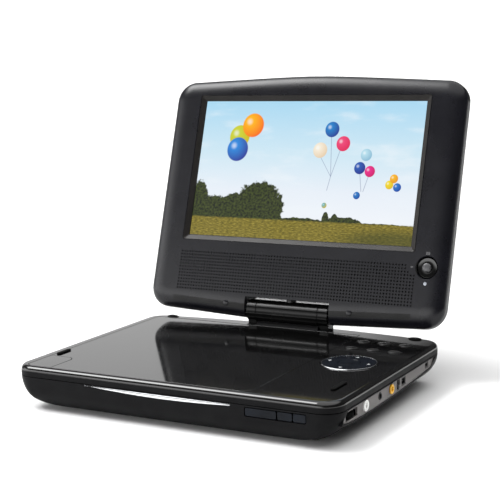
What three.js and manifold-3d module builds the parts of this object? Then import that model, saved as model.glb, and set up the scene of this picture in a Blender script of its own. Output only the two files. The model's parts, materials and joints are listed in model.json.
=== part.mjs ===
// Portable DVD player: a clamshell with a disc drive in the base and a 9-inch screen on a
// tilting, swivelling hinge. Millimetres, +X right, +Y back, +Z up, standing on z = 0.
import * as THREE from 'three';
import { mergeVertices } from 'three/addons/utils/BufferGeometryUtils.js';
import Module from 'manifold-3d';

const wasm = await Module();
wasm.setup();

// ---------------------------------------------------------------- driving dimensions

const GAP = 0.3; // running and part-line gap
const WALL = 2.2; // moulded wall

const base = {
  halfWidth: 128.4,
  sideDepth: 190,
  midDepth: 197,
  cornerRadius: 15,
  bottom: 1.4,
  shellTop: 24.3, // part line between the lower shell and the top shell
  deck: 32,
  deckUnder: 29.5,
  edgeRadius: 3.6,
  bilge: { width: 30, height: 23.6 }, // elliptical turn of the hull at its two sides
  keel: 16, // turn of the hull at its front and back
};

const lidSize = { left: -119.6, right: 61.6, front: 4.9, back: 180.4, under: 29.7, cornerRadius: 9 };
const lidAxis = { y: 179.1, z: 30.7, pinRadius: 0.6 };

const tab = { right: -98, back: 34, radius: 6, cornerRadius: 4 };

const disc = { x: -29, y: 92.5, radius: 60, wellRadius: 62.5, floor: 21.6 };

const nav = { x: 92.2, y: 98.8, radius: 19.9, hole: 20.4, enterRadius: 7.8 };

const keys = {
  halfLength: 5.5,
  halfWidth: 3.2,
  columns: [76, 93, 110],
  rows: [139.5, 161],
  names: [
    ['stop_button', 'play_button', 'menu_button'],
    ['setup_button', 'display_button', 'mode_button'],
  ],
};

const panel = { face: 127.4, thickness: 1.8, jackZ: 19 };

const hinge = {
  y: 188.4,
  z: 43,
  radius: 8.6,
  earInner: 27.6,
  earOuter: 36,
  shaftRadius: 2.5,
  postRadius: 4,
};

const lean = THREE.MathUtils.degToRad(18.3);

// Screen housing, in its own frame: x across, y back from the hinge axis, z up from it.
const screen = {
  halfWidth: 130,
  front: -9.5,
  partLine: -2.3,
  back: 9.5,
  sideTop: 189.5,
  midTop: 194.4,
  sideBottom: -3.8,
  midBottom: -6.9,
  cornerRadius: 17,
  notchHalfWidth: 37.5,
  notchTop: 9.4,
  frontRoll: { width: 15, depth: 7 }, // the front face rolls away to the widest outline
  rearRoll: { width: 8, depth: 7 },
  windowHalfWidth: 99.1,
  windowBottom: 57.5,
  windowTop: 172.4,
};

const stick = { x: 114.2, z: 42.1, hole: 8.4 };

// Front edge of the trim to the back of the leaning screen: the frame's origin is midway.
const wholeObject = { front: -0.4, back: 256.3 };

// ---------------------------------------------------------------- solids and booleans

function solid(geometry) {
  const bare = geometry.clone();
  bare.deleteAttribute('normal');
  bare.deleteAttribute('uv');
  const merged = mergeVertices(bare, 1e-4);
  const mesh = new wasm.Mesh({
    numProp: 3,
    vertProperties: new Float32Array(merged.attributes.position.array),
    triVerts: new Uint32Array(merged.index.array),
  });
  return new wasm.Manifold(mesh);
}

function geometryOf(manifold) {
  const mesh = manifold.getMesh();
  const geometry = new THREE.BufferGeometry();
  geometry.setAttribute('position', new THREE.BufferAttribute(new Float32Array(mesh.vertProperties), 3));
  geometry.setIndex(new THREE.BufferAttribute(new Uint32Array(mesh.triVerts), 1));
  const flat = geometry.toNonIndexed();
  flat.computeVertexNormals();
  return flat;
}

const join = (...parts) => parts.reduce((whole, part) => whole.add(part));
const cut = (whole, ...tools) => tools.reduce((left, tool) => left.subtract(tool), whole);

function block(x0, x1, y0, y1, z0, z1) {
  const geometry = new THREE.BoxGeometry(x1 - x0, y1 - y0, z1 - z0);
  geometry.translate((x0 + x1) / 2, (y0 + y1) / 2, (z0 + z1) / 2);
  return solid(geometry);
}

// A shape drawn in (x, y), extruded up Z.
function prismZ(shape, z0, z1, curveSegments = 10) {
  const geometry = new THREE.ExtrudeGeometry(shape, { depth: z1 - z0, bevelEnabled: false, curveSegments });
  geometry.translate(0, 0, z0);
  return solid(geometry);
}

// A shape drawn in (y, z), extruded along X.
function prismX(shape, x0, x1, curveSegments = 10) {
  const geometry = new THREE.ExtrudeGeometry(shape, { depth: x1 - x0, bevelEnabled: false, curveSegments });
  geometry.rotateX(Math.PI / 2);
  geometry.rotateZ(Math.PI / 2);
  geometry.translate(x0, 0, 0);
  return solid(geometry);
}

// A shape drawn in (x, z), extruded along Y.
function prismY(shape, y0, y1, curveSegments = 10) {
  const geometry = new THREE.ExtrudeGeometry(shape, { depth: y1 - y0, bevelEnabled: false, curveSegments });
  geometry.rotateX(Math.PI / 2);
  geometry.translate(0, y1, 0);
  return solid(geometry);
}

// The same as prismY, with both ends rolled over towards the shape's inside, as a quarter ellipse.
function rolledY(shape, y0, y1, roll, curveSegments = 10) {
  const geometry = new THREE.ExtrudeGeometry(shape, {
    depth: y1 - y0 - 2 * roll.depth,
    bevelThickness: roll.depth,
    bevelSize: roll.width,
    bevelOffset: -roll.width,
    bevelSegments: 6,
    curveSegments,
  });
  geometry.rotateX(Math.PI / 2);
  geometry.translate(0, y1 - roll.depth, 0);
  return solid(geometry);
}

function rodZ(x, y, radius, z0, z1, segments = 20) {
  const geometry = new THREE.CylinderGeometry(radius, radius, z1 - z0, segments);
  geometry.rotateX(Math.PI / 2);
  geometry.translate(x, y, (z0 + z1) / 2);
  return solid(geometry);
}

function rodY(x, z, radius, y0, y1, segments = 24) {
  const geometry = new THREE.CylinderGeometry(radius, radius, y1 - y0, segments);
  geometry.translate(x, (y0 + y1) / 2, z);
  return solid(geometry);
}

function rodX(y, z, radius, x0, x1, segments = 24) {
  const geometry = new THREE.CylinderGeometry(radius, radius, x1 - x0, segments);
  geometry.rotateZ(Math.PI / 2);
  geometry.translate((x0 + x1) / 2, y, z);
  return solid(geometry);
}

// A profile of [radius, height] pairs turned about Z.
function turned(profile, segments = 16) {
  const points = profile.map(([radius, height]) => new THREE.Vector2(radius, height));
  const geometry = new THREE.LatheGeometry(points, segments);
  geometry.rotateX(Math.PI / 2);
  return solid(geometry);
}

function roundedRectangle(x0, x1, y0, y1, r) {
  const shape = new THREE.Shape();
  shape.moveTo(x0 + r, y0);
  shape.lineTo(x1 - r, y0);
  shape.absarc(x1 - r, y0 + r, r, -Math.PI / 2, 0, false);
  shape.lineTo(x1, y1 - r);
  shape.absarc(x1 - r, y1 - r, r, 0, Math.PI / 2, false);
  shape.lineTo(x0 + r, y1);
  shape.absarc(x0 + r, y1 - r, r, Math.PI / 2, Math.PI, false);
  shape.lineTo(x0, y0 + r);
  shape.absarc(x0 + r, y0 + r, r, Math.PI, 1.5 * Math.PI, false);
  return shape;
}

function oval(x, y, halfLength, halfWidth) {
  const shape = new THREE.Shape();
  shape.absellipse(x, y, halfLength, halfWidth, 0, 2 * Math.PI, false);
  return shape;
}

// ---------------------------------------------------------------- materials and nodes

const paint = {
  gloss: ['#0b0b0d', 0.12, 0],
  satin: ['#1c1d22', 0.5, 0],
  bezel: ['#2a2a2c', 0.55, 0],
  inner: ['#303236', 0.7, 0],
  rubber: ['#0c0c0c', 0.9, 0],
  chrome: ['#d6d8dc', 0.15, 1],
  steel: ['#9a9ca0', 0.35, 1],
  smoke: ['#08080a', 0.08, 0],
  board: ['#1f5a35', 0.6, 0],
  cell: ['#2f4a7a', 0.5, 0],
  port: ['#45403f', 0.6, 0],
  white: ['#e9e9e6', 0.5, 0],
  black: ['#0a0a0a', 0.5, 0],
  yellow: ['#e8a51c', 0.45, 0],
  picture: ['#7fb2e0', 0.2, 0],
  lens: ['#3d5f9c', 0.05, 0],
  cone: ['#26262a', 0.8, 0],
};

const player = new THREE.Group();
player.position.set(0, -(wholeObject.front + wholeObject.back) / 2, 0);

const upright = new THREE.Group(); // the screen's frame, leaned back about the hinge axis
upright.position.set(0, hinge.y, hinge.z);
upright.rotation.x = -lean;
player.add(upright);

function node(name, manifold, [color, roughness, metalness], parent = player) {
  const material = new THREE.MeshStandardMaterial({ color, roughness, metalness });
  const mesh = new THREE.Mesh(geometryOf(manifold), material);
  mesh.name = name;
  parent.add(mesh);
  return mesh;
}

// ---------------------------------------------------------------- base: outlines of the hull

function planOutline(inset) {
  const w = base.halfWidth - inset;
  const r = base.cornerRadius - inset;
  const side = base.sideDepth - inset;
  const bulge = base.midDepth - inset;
  const shape = new THREE.Shape();
  shape.moveTo(-w + r, inset);
  shape.lineTo(w - r, inset);
  shape.absarc(w - r, inset + r, r, -Math.PI / 2, 0, false);
  shape.lineTo(w, side - r);
  shape.absarc(w - r, side - r, r, 0, Math.PI / 2, false);
  shape.quadraticCurveTo(0, 2 * bulge - side, -w + r, side);
  shape.absarc(-w + r, side - r, r, Math.PI / 2, Math.PI, false);
  shape.lineTo(-w, inset + r);
  shape.absarc(-w + r, inset + r, r, Math.PI, 1.5 * Math.PI, false);
  return shape;
}

function sideTurn(inset) {
  const w = base.halfWidth - inset;
  const { width, height } = base.bilge;
  const top = base.bottom + height;
  const shape = new THREE.Shape();
  shape.moveTo(-w, base.deck);
  shape.lineTo(-w, top);
  shape.absellipse(-w + width - inset, top, width - inset, height - inset, Math.PI, 1.5 * Math.PI, false);
  shape.lineTo(w - width + inset, base.bottom + inset);
  shape.absellipse(w - width + inset, top, width - inset, height - inset, 1.5 * Math.PI, 2 * Math.PI, false);
  shape.lineTo(w, base.deck);
  return shape;
}

function frontTurn(inset) {
  const r = base.keel - inset;
  const back = base.midDepth - inset;
  const floor = base.bottom + inset;
  const shape = new THREE.Shape();
  shape.moveTo(inset, base.deck);
  shape.lineTo(inset, floor + r);
  shape.absarc(inset + r, floor + r, r, Math.PI, 1.5 * Math.PI, false);
  shape.lineTo(back - r, floor);
  shape.absarc(back - r, floor + r, r, 1.5 * Math.PI, 2 * Math.PI, false);
  shape.lineTo(back, base.deck);
  return shape;
}

function hullSolid(inset, top) {
  const plan = prismZ(planOutline(inset), base.bottom + inset, top, 6);
  const across = prismY(sideTurn(inset), inset, base.midDepth, 8);
  const along = prismX(frontTurn(inset), -base.halfWidth, base.halfWidth, 6);
  return plan.intersect(across).intersect(along);
}

// The flat side panel's outline in (y, z): straight top, bowed bottom.
function panelOutline(inset) {
  const top = base.shellTop - GAP - inset;
  const shape = new THREE.Shape();
  shape.moveTo(17 + inset, top);
  shape.lineTo(11.5 + 1.3 * inset, 16 + inset);
  shape.quadraticCurveTo(16 + inset, 13.6 + inset, 47, 13.1 + inset);
  shape.quadraticCurveTo(110, 12.5 + inset, 166 - inset, 16.8 + inset);
  shape.lineTo(175 - 1.5 * inset, top);
  return shape;
}

// ---------------------------------------------------------------- base: shells and trim

const portHoles = {
  wheel: block(120, 132, 16, 34.5, 16.2, 21.9),
  headphone: rodX(47.6, panel.jackZ, 3.9 + GAP, 120, 132),
  line: rodX(71.8, panel.jackZ, 2.6 + GAP, 120, 132),
  av: rodX(91.5, panel.jackZ, 3.5 + GAP, 120, 132),
  power: block(120, 132, 101.6, 106.8, 15.4, 22.4),
  supply: block(120, 132, 109.3, 117.4, 16.2, 22.4),
  optical: block(120, 132, 154.8, 161, 18, 22.6),
};

// The crescent of bright trim on the front, in (x, z).
function trimOutline(inset) {
  const shape = new THREE.Shape();
  shape.moveTo(-70 + 14 * inset, 23.9 - inset);
  shape.quadraticCurveTo(-8, 18.6 + inset, 52 - inset, 22.6 + inset);
  shape.lineTo(52 - inset, 23.9 - inset);
  return shape;
}

// The dark window over the remote-control receiver, in (x, z).
const sensorOutline = (inset) => roundedRectangle(62.4 + inset, 107 - inset, 16.9 + inset, 22.9 - inset, 1.3);

function lowerShell() {
  const sideBoss = prismX(panelOutline(-1), 98, panel.face).intersect(prismZ(planOutline(0), 2, base.shellTop, 6));
  const outer = join(hullSolid(0, base.shellTop), sideBoss);
  const inner = hullSolid(WALL, base.deck);
  const panelPocket = prismX(panelOutline(0.6), panel.face - panel.thickness - GAP, 132);
  const portWindow = prismX(panelOutline(1.7), 100, panel.face);
  const behindPorts = block(96, 123, 20, 162, 14.8, base.shellTop + 1);
  const trimSlot = prismY(trimOutline(0), -1, 0.8);
  const sensorHole = prismY(sensorOutline(0), -1, 6);
  return cut(outer, inner, panelPocket, portWindow, behindPorts, trimSlot, sensorHole);
}

function topShell() {
  const { edgeRadius, deck } = base;
  const domed = new THREE.ExtrudeGeometry(planOutline(0), {
    depth: deck - base.shellTop - GAP - edgeRadius,
    bevelThickness: edgeRadius,
    bevelSize: edgeRadius,
    bevelOffset: -edgeRadius,
    bevelSegments: 4,
    curveSegments: 6,
  });
  domed.translate(0, 0, base.shellTop + GAP);
  const above = block(-150, 150, -20, 220, base.shellTop + GAP, deck + 1);
  const outer = solid(domed).intersect(above);
  const inner = prismZ(planOutline(WALL), 10, base.deckUnder, 6);
  const lidOpening = prismZ(openingOutline(), 20, 40);
  const navHole = rodZ(nav.x, nav.y, nav.hole, 20, 40, 32);
  const keyHoles = keys.rows.flatMap((y) => keys.columns.map(
    (x) => prismZ(oval(x, y, keys.halfLength + GAP, keys.halfWidth + GAP), 20, 40, 6),
  ));
  const pinHoles = rodX(lidAxis.y, lidAxis.z, 0.9, lidSize.left - 3, lidSize.right + 3, 12);
  return cut(outer, inner, lidOpening, navHole, pinHoles, ...keyHoles);
}

// The opening in the deck that the lid and the open tab fill.
function openingOutline() {
  const left = lidSize.left - GAP;
  const right = lidSize.right + GAP;
  const front = lidSize.front - GAP;
  const back = lidSize.back + GAP;
  const near = lidSize.cornerRadius + GAP;
  const tabCorner = tab.cornerRadius + GAP;
  const shape = new THREE.Shape();
  shape.moveTo(left + tabCorner, front);
  shape.lineTo(right - near, front);
  shape.absarc(right - near, front + near, near, -Math.PI / 2, 0, false);
  shape.lineTo(right, back);
  shape.lineTo(left, back);
  shape.lineTo(left, front + tabCorner);
  shape.absarc(left + tabCorner, front + tabCorner, tabCorner, Math.PI, 1.5 * Math.PI, false);
  return shape;
}

const seatTop = base.deckUnder - GAP;

function discTray() {
  const plate = prismZ(roundedRectangle(-123.5, 65.5, 3.6, 184, 9), seatTop - 2.3, seatTop);
  const cup = rodZ(disc.x, disc.y, disc.wellRadius + 1.8, disc.floor - 1.5, seatTop - 1, 48);
  const well = rodZ(disc.x, disc.y, disc.wellRadius, disc.floor, 40, 48);
  const hub = rodZ(disc.x, disc.y, 16.5, 10, 40, 32);
  const pickupSlot = block(disc.x - 22, disc.x + 22, disc.y - 58, disc.y - 10, 10, 40);
  const latchHole = block(-93, -85, 12, 18, 10, 40);
  const tabHole = block(-117, -101, 12, 31, 10, 40);
  return cut(join(plate, cup), well, hub, pickupSlot, latchHole, tabHole);
}

function discLid() {
  const { left, right, front, back, under, cornerRadius } = lidSize;
  const shape = new THREE.Shape();
  shape.moveTo(tab.right + GAP, front);
  shape.lineTo(right - cornerRadius, front);
  shape.absarc(right - cornerRadius, front + cornerRadius, cornerRadius, -Math.PI / 2, 0, false);
  shape.lineTo(right, back);
  shape.lineTo(left, back);
  shape.lineTo(left, tab.back + GAP);
  shape.lineTo(tab.right + GAP - tab.radius, tab.back + GAP);
  shape.absarc(tab.right + GAP - tab.radius, tab.back + GAP - tab.radius, tab.radius, Math.PI / 2, 0, true);
  const plate = prismZ(shape, under, base.deck);
  const ring = cut(
    rodZ(disc.x, disc.y, 60, under - 1.2, under + 0.5, 48),
    rodZ(disc.x, disc.y, 58, 20, under + 0.2, 48),
  );
  const hook = join(block(-91, -87, 13.5, 16.5, 24.5, under + 0.5), block(-91, -87, 12.6, 16.5, 24.5, 26));
  const edge = base.deck - lidAxis.z;
  const squareEdge = block(left - 1, right + 1, lidAxis.y, back + 1, under - 1, base.deck + 1);
  const roundEdge = rodX(lidAxis.y, lidAxis.z, edge, left, right, 24);
  const pins = rodX(lidAxis.y, lidAxis.z, lidAxis.pinRadius, left - 2.4, right + 2.4, 12);
  return join(cut(plate, squareEdge), roundEdge, ring, hook, pins);
}

function openTab() {
  const shape = new THREE.Shape();
  const corner = tab.cornerRadius;
  shape.moveTo(lidSize.left + corner, lidSize.front);
  shape.lineTo(tab.right, lidSize.front);
  shape.lineTo(tab.right, tab.back - tab.radius);
  shape.absarc(tab.right - tab.radius, tab.back - tab.radius, tab.radius, 0, Math.PI / 2, false);
  shape.lineTo(lidSize.left, tab.back);
  shape.lineTo(lidSize.left, lidSize.front + corner);
  shape.absarc(lidSize.left + corner, lidSize.front + corner, corner, Math.PI, 1.5 * Math.PI, false);
  const plate = prismZ(shape, 30.4, base.deck);
  const plunger = block(-113, -105, 16, 27, 22.5, 31);
  return join(plate, plunger);
}

node('lower_shell', lowerShell(), paint.satin);
node('top_shell', topShell(), paint.gloss);
node('disc_tray', discTray(), paint.satin);
node('disc_lid', discLid(), paint.gloss);
node('open_tab', openTab(), paint.gloss);

node('front_trim', prismY(trimOutline(GAP), -0.4, 0.5), paint.chrome);
node('ir_window', prismY(sensorOutline(GAP), 0.15, 3), paint.smoke);

// ---------------------------------------------------------------- base: ports on the right side

const panelPlate = prismX(panelOutline(0.9), panel.face - panel.thickness, panel.face - 0.2);
node('jack_panel', cut(panelPlate, ...Object.values(portHoles)), paint.port);

function jack(y, radius, face, back, mouth = 1.75) {
  const collar = rodX(y, panel.jackZ, radius, 112, face);
  const body = block(108, back, y - 4.5, y + 4.5, panel.jackZ - 3.4, panel.jackZ + 4.4);
  return cut(join(collar, body), rodX(y, panel.jackZ, mouth, 111, 132, 16));
}

const jackBack = panel.face - panel.thickness - 2 * GAP;
node('headphone_jack', jack(47.6, 3.9, 128.1, jackBack), paint.white);
node('line_jack', jack(71.8, 2.6, 127.6, jackBack), paint.black);
node('av_jack', jack(91.5, 3.5, 128.1, jackBack), paint.yellow);

function socket(y0, y1, z0, z1) {
  const body = block(110, 127, y0 + GAP, y1 - GAP, z0 + GAP, z1 - GAP);
  const well = block(113, 130, y0 + 1, y1 - 1, z0 + 1, z1 - 1);
  return cut(body, well);
}

const dcPin = rodX(113.35, 19.3, 0.8, 112, 126, 12);
node('dc_jack', join(socket(109.3, 117.4, 16.2, 22.4), dcPin), paint.black);
node('optical_jack', socket(154.8, 161, 18, 22.6), paint.black);

const wheel = { x: 120.2, y: 25.2, z: 19.1, radius: 8 };

function volumeWheel() {
  const teeth = 24;
  let rim = rodZ(wheel.x, wheel.y, wheel.radius, 17.2, 21, 48);
  for (let i = 0; i < teeth; i += 1) {
    const angle = (2 * Math.PI * i) / teeth;
    const x = wheel.x + (wheel.radius + 0.25) * Math.cos(angle);
    const y = wheel.y + (wheel.radius + 0.25) * Math.sin(angle);
    rim = rim.subtract(rodZ(x, y, 0.6, 16, 22, 8));
  }
  return cut(rim, rodZ(wheel.x, wheel.y, 1.8, 16, 22, 16));
}

node('volume_wheel', volumeWheel(), paint.rubber);

function powerSwitch() {
  const knob = block(124.9, 127.9, 102.6, 105.8, 15.9, 18.9);
  const slider = block(120.5, 125.2, 101.9, 106.5, 15.6, 20);
  return join(knob, slider);
}

node('power_switch', powerSwitch(), paint.black);

// ---------------------------------------------------------------- base: rubber pieces

const feet = {
  foot_front_left: [-100, 25],
  foot_front_middle: [-30, 22],
  foot_front_right: [100, 25],
  foot_rear_left: [-96, 172],
  foot_rear_right: [96, 172],
};

for (const [name, [x, y]] of Object.entries(feet)) {
  const pad = turned([[0, 0], [5, 0], [6, 0.6], [6, base.bottom - 0.3], [0, base.bottom - 0.3]]);
  node(name, pad.translate([x, y, 0]), paint.rubber);
}

const bumpers = { rear_bumper_left: -108, rear_bumper_right: 108 };
for (const [name, x] of Object.entries(bumpers)) {
  const dome = turned([[0, 0], [5.4, 0], [5.2, 0.7], [4, 1.1], [0, 1.3]]).scale([1, 0.55, 1]);
  node(name, dome.translate([x, 184.3, base.deck + 0.1]), paint.rubber);
}

const pads = { front_pad_left: [-116.7, 45.5, 7.6], front_pad_right: [111.4, 40.5, 10.5] };
for (const [name, [x, y, halfLength]] of Object.entries(pads)) {
  const strip = roundedRectangle(x - 1.9, x + 1.9, y - halfLength, y + halfLength, 1.8);
  const low = base.deck + 0.1;
  node(name, prismZ(strip, low, low + 1, 4), paint.rubber);
}

// ---------------------------------------------------------------- base: buttons

function keyButton(x, y) {
  const crown = prismZ(oval(x, y, keys.halfLength, keys.halfWidth), 30.2, base.deck + 0.5, 6);
  const top = prismZ(oval(x, y, keys.halfLength - 0.9, keys.halfWidth - 0.9), base.deck + 0.4, base.deck + 1, 6);
  const stem = rodZ(x, y, 1.6, 26.2, 31, 12);
  return join(crown, top, stem);
}

keys.rows.forEach((y, row) => {
  keys.columns.forEach((x, column) => {
    node(keys.names[row][column], keyButton(x, y), paint.gloss);
  });
});

const navDisc = rodZ(nav.x, nav.y, nav.radius, base.deck - 0.7, base.deck + 0.7, 40);
const navSkirt = rodZ(nav.x, nav.y, 12, 28.4, base.deck, 24);
const enterWell = rodZ(nav.x, nav.y, nav.enterRadius + GAP, 20, 40, 28);
node('nav_ring', cut(join(navDisc, navSkirt), enterWell), paint.smoke);

const gimbalRing = cut(rodZ(nav.x, nav.y, 12, 26.4, 27.6, 24), enterWell);
node('nav_gimbal', gimbalRing, paint.inner);

const enterCrown = rodZ(nav.x, nav.y, nav.enterRadius, 29.4, base.deck + 0.6, 28);
node('enter_button', join(enterCrown, rodZ(nav.x, nav.y, 1.6, 26.2, 30, 12)), paint.smoke);

// ---------------------------------------------------------------- base: what is inside

node('main_board', block(68, 118, 16, 178, 23.8, 25.2), paint.board);

const cells = [0, 1, 2].map((i) => roundedRectangle(69 + 10.4 * i, 79.6 + 10.4 * i, 4.2, 14.8, 5.2));
node('battery_pack', join(...cells.map((shape) => prismY(shape, 60, 170, 5)), block(74, 96, 60, 170, 5.2, 9)), paint.cell);

const rail = { half: 24, z: 15.4, radius: 1.2, front: disc.y - 69, back: disc.y - 12 };
const screwLine = { x: disc.x + 33, z: 13.2, radius: 1.5 };

function loaderChassis() {
  const plate = block(disc.x - 44, disc.x + 44, disc.y - 72, disc.y + 34, 17.6, 19.4);
  const frontBar = block(disc.x - 30, disc.x + 40, rail.front - 3, rail.front + 1, 10, 18);
  const backBar = block(disc.x - 30, disc.x + 40, rail.back - 1, rail.back + 3, 10, 18);
  const legs = [[-40, -64], [40, -64], [-40, 28], [40, 28]].map(
    ([dx, dy]) => block(disc.x + dx - 3, disc.x + dx + 3, disc.y + dy - 3, disc.y + dy + 3, 4.2, 18),
  );
  const sledSlot = block(disc.x - 28, disc.x + 38.5, rail.front + 1, rail.back - 1, 8, 22);
  const motorHole = rodZ(disc.x, disc.y, 14.2 + GAP, 8, 22, 32);
  const railHoles = [-rail.half, rail.half].map(
    (dx) => rodY(disc.x + dx, rail.z, rail.radius + GAP, rail.front - 2, rail.back + 2, 12),
  );
  const screwHole = rodY(screwLine.x, screwLine.z, screwLine.radius + GAP, rail.front - 5, rail.back + 2, 12);
  const drivenEnd = block(screwLine.x - 6.5, screwLine.x + 6.5, rail.front - 18, rail.front - 5.3, 8, 17);
  return cut(join(plate, frontBar, backBar, ...legs), sledSlot, motorHole, screwHole, drivenEnd, ...railHoles);
}

node('loader_chassis', loaderChassis(), paint.steel);
for (const [name, dx] of [['guide_rod_left', -rail.half], ['guide_rod_right', rail.half]]) {
  node(name, rodY(disc.x + dx, rail.z, rail.radius, rail.front - 1.6, rail.back + 1.6, 12), paint.chrome);
}

const spindleMotor = cut(
  join(rodZ(disc.x, disc.y, 14, 8, 17, 32), rodZ(disc.x, disc.y, 8, 16, 20, 24)),
  rodZ(disc.x, disc.y, 1.8, 12, 22, 12),
);
node('spindle_motor', spindleMotor, paint.steel);

const turntable = turned([
  [0, 13], [1.4, 13], [1.4, 22.4], [14.5, 22.4], [14.5, 24.4], [7.3, 24.4], [7.3, 26], [5.6, 27], [0, 27],
], 32);
node('turntable', turntable.translate([disc.x, disc.y, 0]), paint.black);

const sledMotor = cut(
  block(screwLine.x - 5.5, screwLine.x + 5.5, rail.front - 15.7, rail.front - 5.7, 8.6, 16.6),
  rodY(screwLine.x, screwLine.z, 1.3, rail.front - 10, rail.front, 12),
);
node('sled_motor', sledMotor, paint.steel);

const leadScrew = join(
  rodY(screwLine.x, screwLine.z, screwLine.radius, rail.front - 2, rail.back + 1.6, 14),
  rodY(screwLine.x, screwLine.z, 1, rail.front - 9, rail.front, 12),
);
node('lead_screw', leadScrew, paint.steel);

function pickup() {
  const y = disc.y - 25;
  const sled = block(disc.x - 27, disc.x + 27, y - 9, y + 9, 12.6, 18.6);
  const lensCap = rodZ(disc.x, y, 6, 18, 19.7, 20);
  const arm = block(disc.x + 26, disc.x + 36.5, y - 3, y + 3, 13, 17.2);
  const rods = [-rail.half, rail.half].map((dx) => rodY(disc.x + dx, rail.z, rail.radius + 0.15, y - 12, y + 12, 12));
  const screwRoom = rodY(screwLine.x, screwLine.z, screwLine.radius + 0.2, y - 12, y + 12, 14);
  return cut(join(sled, lensCap, arm), screwRoom, ...rods);
}

node('pickup', pickup(), paint.inner);

// ---------------------------------------------------------------- hinge

function ear(side) {
  const shape = new THREE.Shape();
  const foot = base.deck + GAP;
  shape.moveTo(hinge.y - 6.4, foot);
  shape.lineTo(hinge.y + 5, foot);
  shape.lineTo(hinge.y + hinge.radius * Math.cos(0.25), hinge.z - hinge.radius * Math.sin(0.25));
  shape.absarc(hinge.y, hinge.z, hinge.radius, -0.25, Math.PI + 0.25, false);
  const [x0, x1] = side < 0 ? [-hinge.earOuter, -hinge.earInner] : [hinge.earInner, hinge.earOuter];
  const bore = rodX(hinge.y, hinge.z, hinge.shaftRadius + 0.2, -hinge.earOuter + 1.6, hinge.earOuter - 1.6, 20);
  return cut(prismX(shape, x0, x1, 16), bore);
}

node('hinge_ear_left', ear(-1), paint.gloss);
node('hinge_ear_right', ear(1), paint.gloss);
node('tilt_shaft', rodX(hinge.y, hinge.z, hinge.shaftRadius, -hinge.earOuter + 2, hinge.earOuter - 2, 20), paint.steel);

const barrelLength = hinge.earInner - GAP;
const barrel = cut(
  rodX(0, 0, hinge.radius, -barrelLength, barrelLength, 40),
  rodX(0, 0, hinge.shaftRadius + 0.2, -40, 40, 20),
  rodZ(0, 0, hinge.postRadius + 0.2, 3.6, 20, 24),
  rodX(-14.6, -1.5, 7.2, -40, 40, 32),
);
node('hinge_barrel', barrel, paint.gloss, upright);

const post = turned([
  [0, 4], [hinge.postRadius, 4], [hinge.postRadius, 12.4], [7, 12.4], [7, 13.8],
  [hinge.postRadius - 0.6, 13.8], [hinge.postRadius - 0.6, 22], [0, 22],
]);
node('swivel_post', post, paint.steel, upright);

// ---------------------------------------------------------------- screen housing

// Outline in (x, z) of the housing.
function housingOutline(inset) {
  const w = screen.halfWidth - inset;
  const r = screen.cornerRadius - inset;
  const sideTop = screen.sideTop - inset;
  const midTop = screen.midTop - inset;
  const sideBottom = screen.sideBottom + inset;
  const midBottom = screen.midBottom + inset;
  const blend = 12;
  const shape = new THREE.Shape();
  shape.moveTo(-w + r, sideBottom);
  shape.lineTo(-screen.notchHalfWidth, midBottom);
  shape.lineTo(screen.notchHalfWidth, midBottom);
  shape.lineTo(w - r, sideBottom);
  shape.absarc(w - r, sideBottom + r, r, -Math.PI / 2, 0, false);
  shape.lineTo(w, sideTop - r);
  shape.absarc(w - r, sideTop - r, r, 0, Math.PI / 2, false);
  shape.lineTo(blend, midTop - 0.5);
  shape.quadraticCurveTo(0, midTop, -blend, midTop - 0.5);
  shape.lineTo(-w + r, sideTop);
  shape.absarc(-w + r, sideTop - r, r, Math.PI / 2, Math.PI, false);
  shape.lineTo(-w, sideBottom + r);
  shape.absarc(-w + r, sideBottom + r, r, Math.PI, 1.5 * Math.PI, false);
  return shape;
}

// The whole housing as a closed, hollow form with one of its two rolled edges, notched for the hinge.
function housingWith(roll) {
  const wallFront = 2.4;
  const wallBack = 2;
  const outer = rolledY(housingOutline(0), screen.front, screen.back, roll, 6);
  const innerRoll = { width: roll.width - 2, depth: roll.depth - 2 };
  const room = rolledY(housingOutline(WALL), screen.front + wallFront, screen.back - wallBack, innerRoll, 6);
  const notch = screen.notchHalfWidth;
  const notchTool = block(-notch, notch, -20, 20, -20, screen.notchTop);
  const notchWall = block(-notch - WALL, notch + WALL, -20, 20, -20, screen.notchTop + WALL);
  return cut(outer, notchTool, cut(room, notchWall));
}

const postHole = rodZ(0, 0, hinge.postRadius + GAP, 5, 14, 24);

function windowShapeOf(grow) {
  const { windowHalfWidth: w, windowBottom: low, windowTop: high } = screen;
  return roundedRectangle(-w - grow, w + grow, low - grow, high + grow, 1 + grow);
}

function bezel() {
  const front = block(-140, 140, screen.front - 1, screen.partLine, -20, 210);
  const rebate = prismY(windowShapeOf(3.2), screen.front - 1, screen.front + 1.1, 4);
  const opening = prismY(windowShapeOf(0), -12, 0, 4);
  const stickHole = rodY(stick.x, stick.z, stick.hole, -12, 0, 28);
  const ledHole = rodY(stick.x, 29.8, 1.5 + 0.15, -12, 0, 12);
  const caps = [-54.8, 54.8].map((x) => rodY(x, 3.4, 2.4 + 0.15, -12, screen.front + 1.7, 16));
  const shell = housingWith(screen.frontRoll).intersect(front);
  return cut(shell, rebate, opening, stickHole, ledHole, postHole, ...caps);
}

node('bezel', bezel(), paint.bezel, upright);

const rearHalf = block(-140, 140, screen.partLine + GAP, screen.back + 1, -20, 210);
node('rear_cover', cut(housingWith(screen.rearRoll).intersect(rearHalf), postHole), paint.gloss, upright);

const lcd = { halfWidth: 104, bottom: 54.5, top: 175, front: screen.front + 2.7, back: screen.front + 7 };
node('lcd_panel', block(-lcd.halfWidth, lcd.halfWidth, lcd.front, lcd.back, lcd.bottom, lcd.top), paint.picture, upright);
node('display_board', block(-78, 78, lcd.back + 1.2, lcd.back + 2.8, 70, 160), paint.board, upright);

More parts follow.
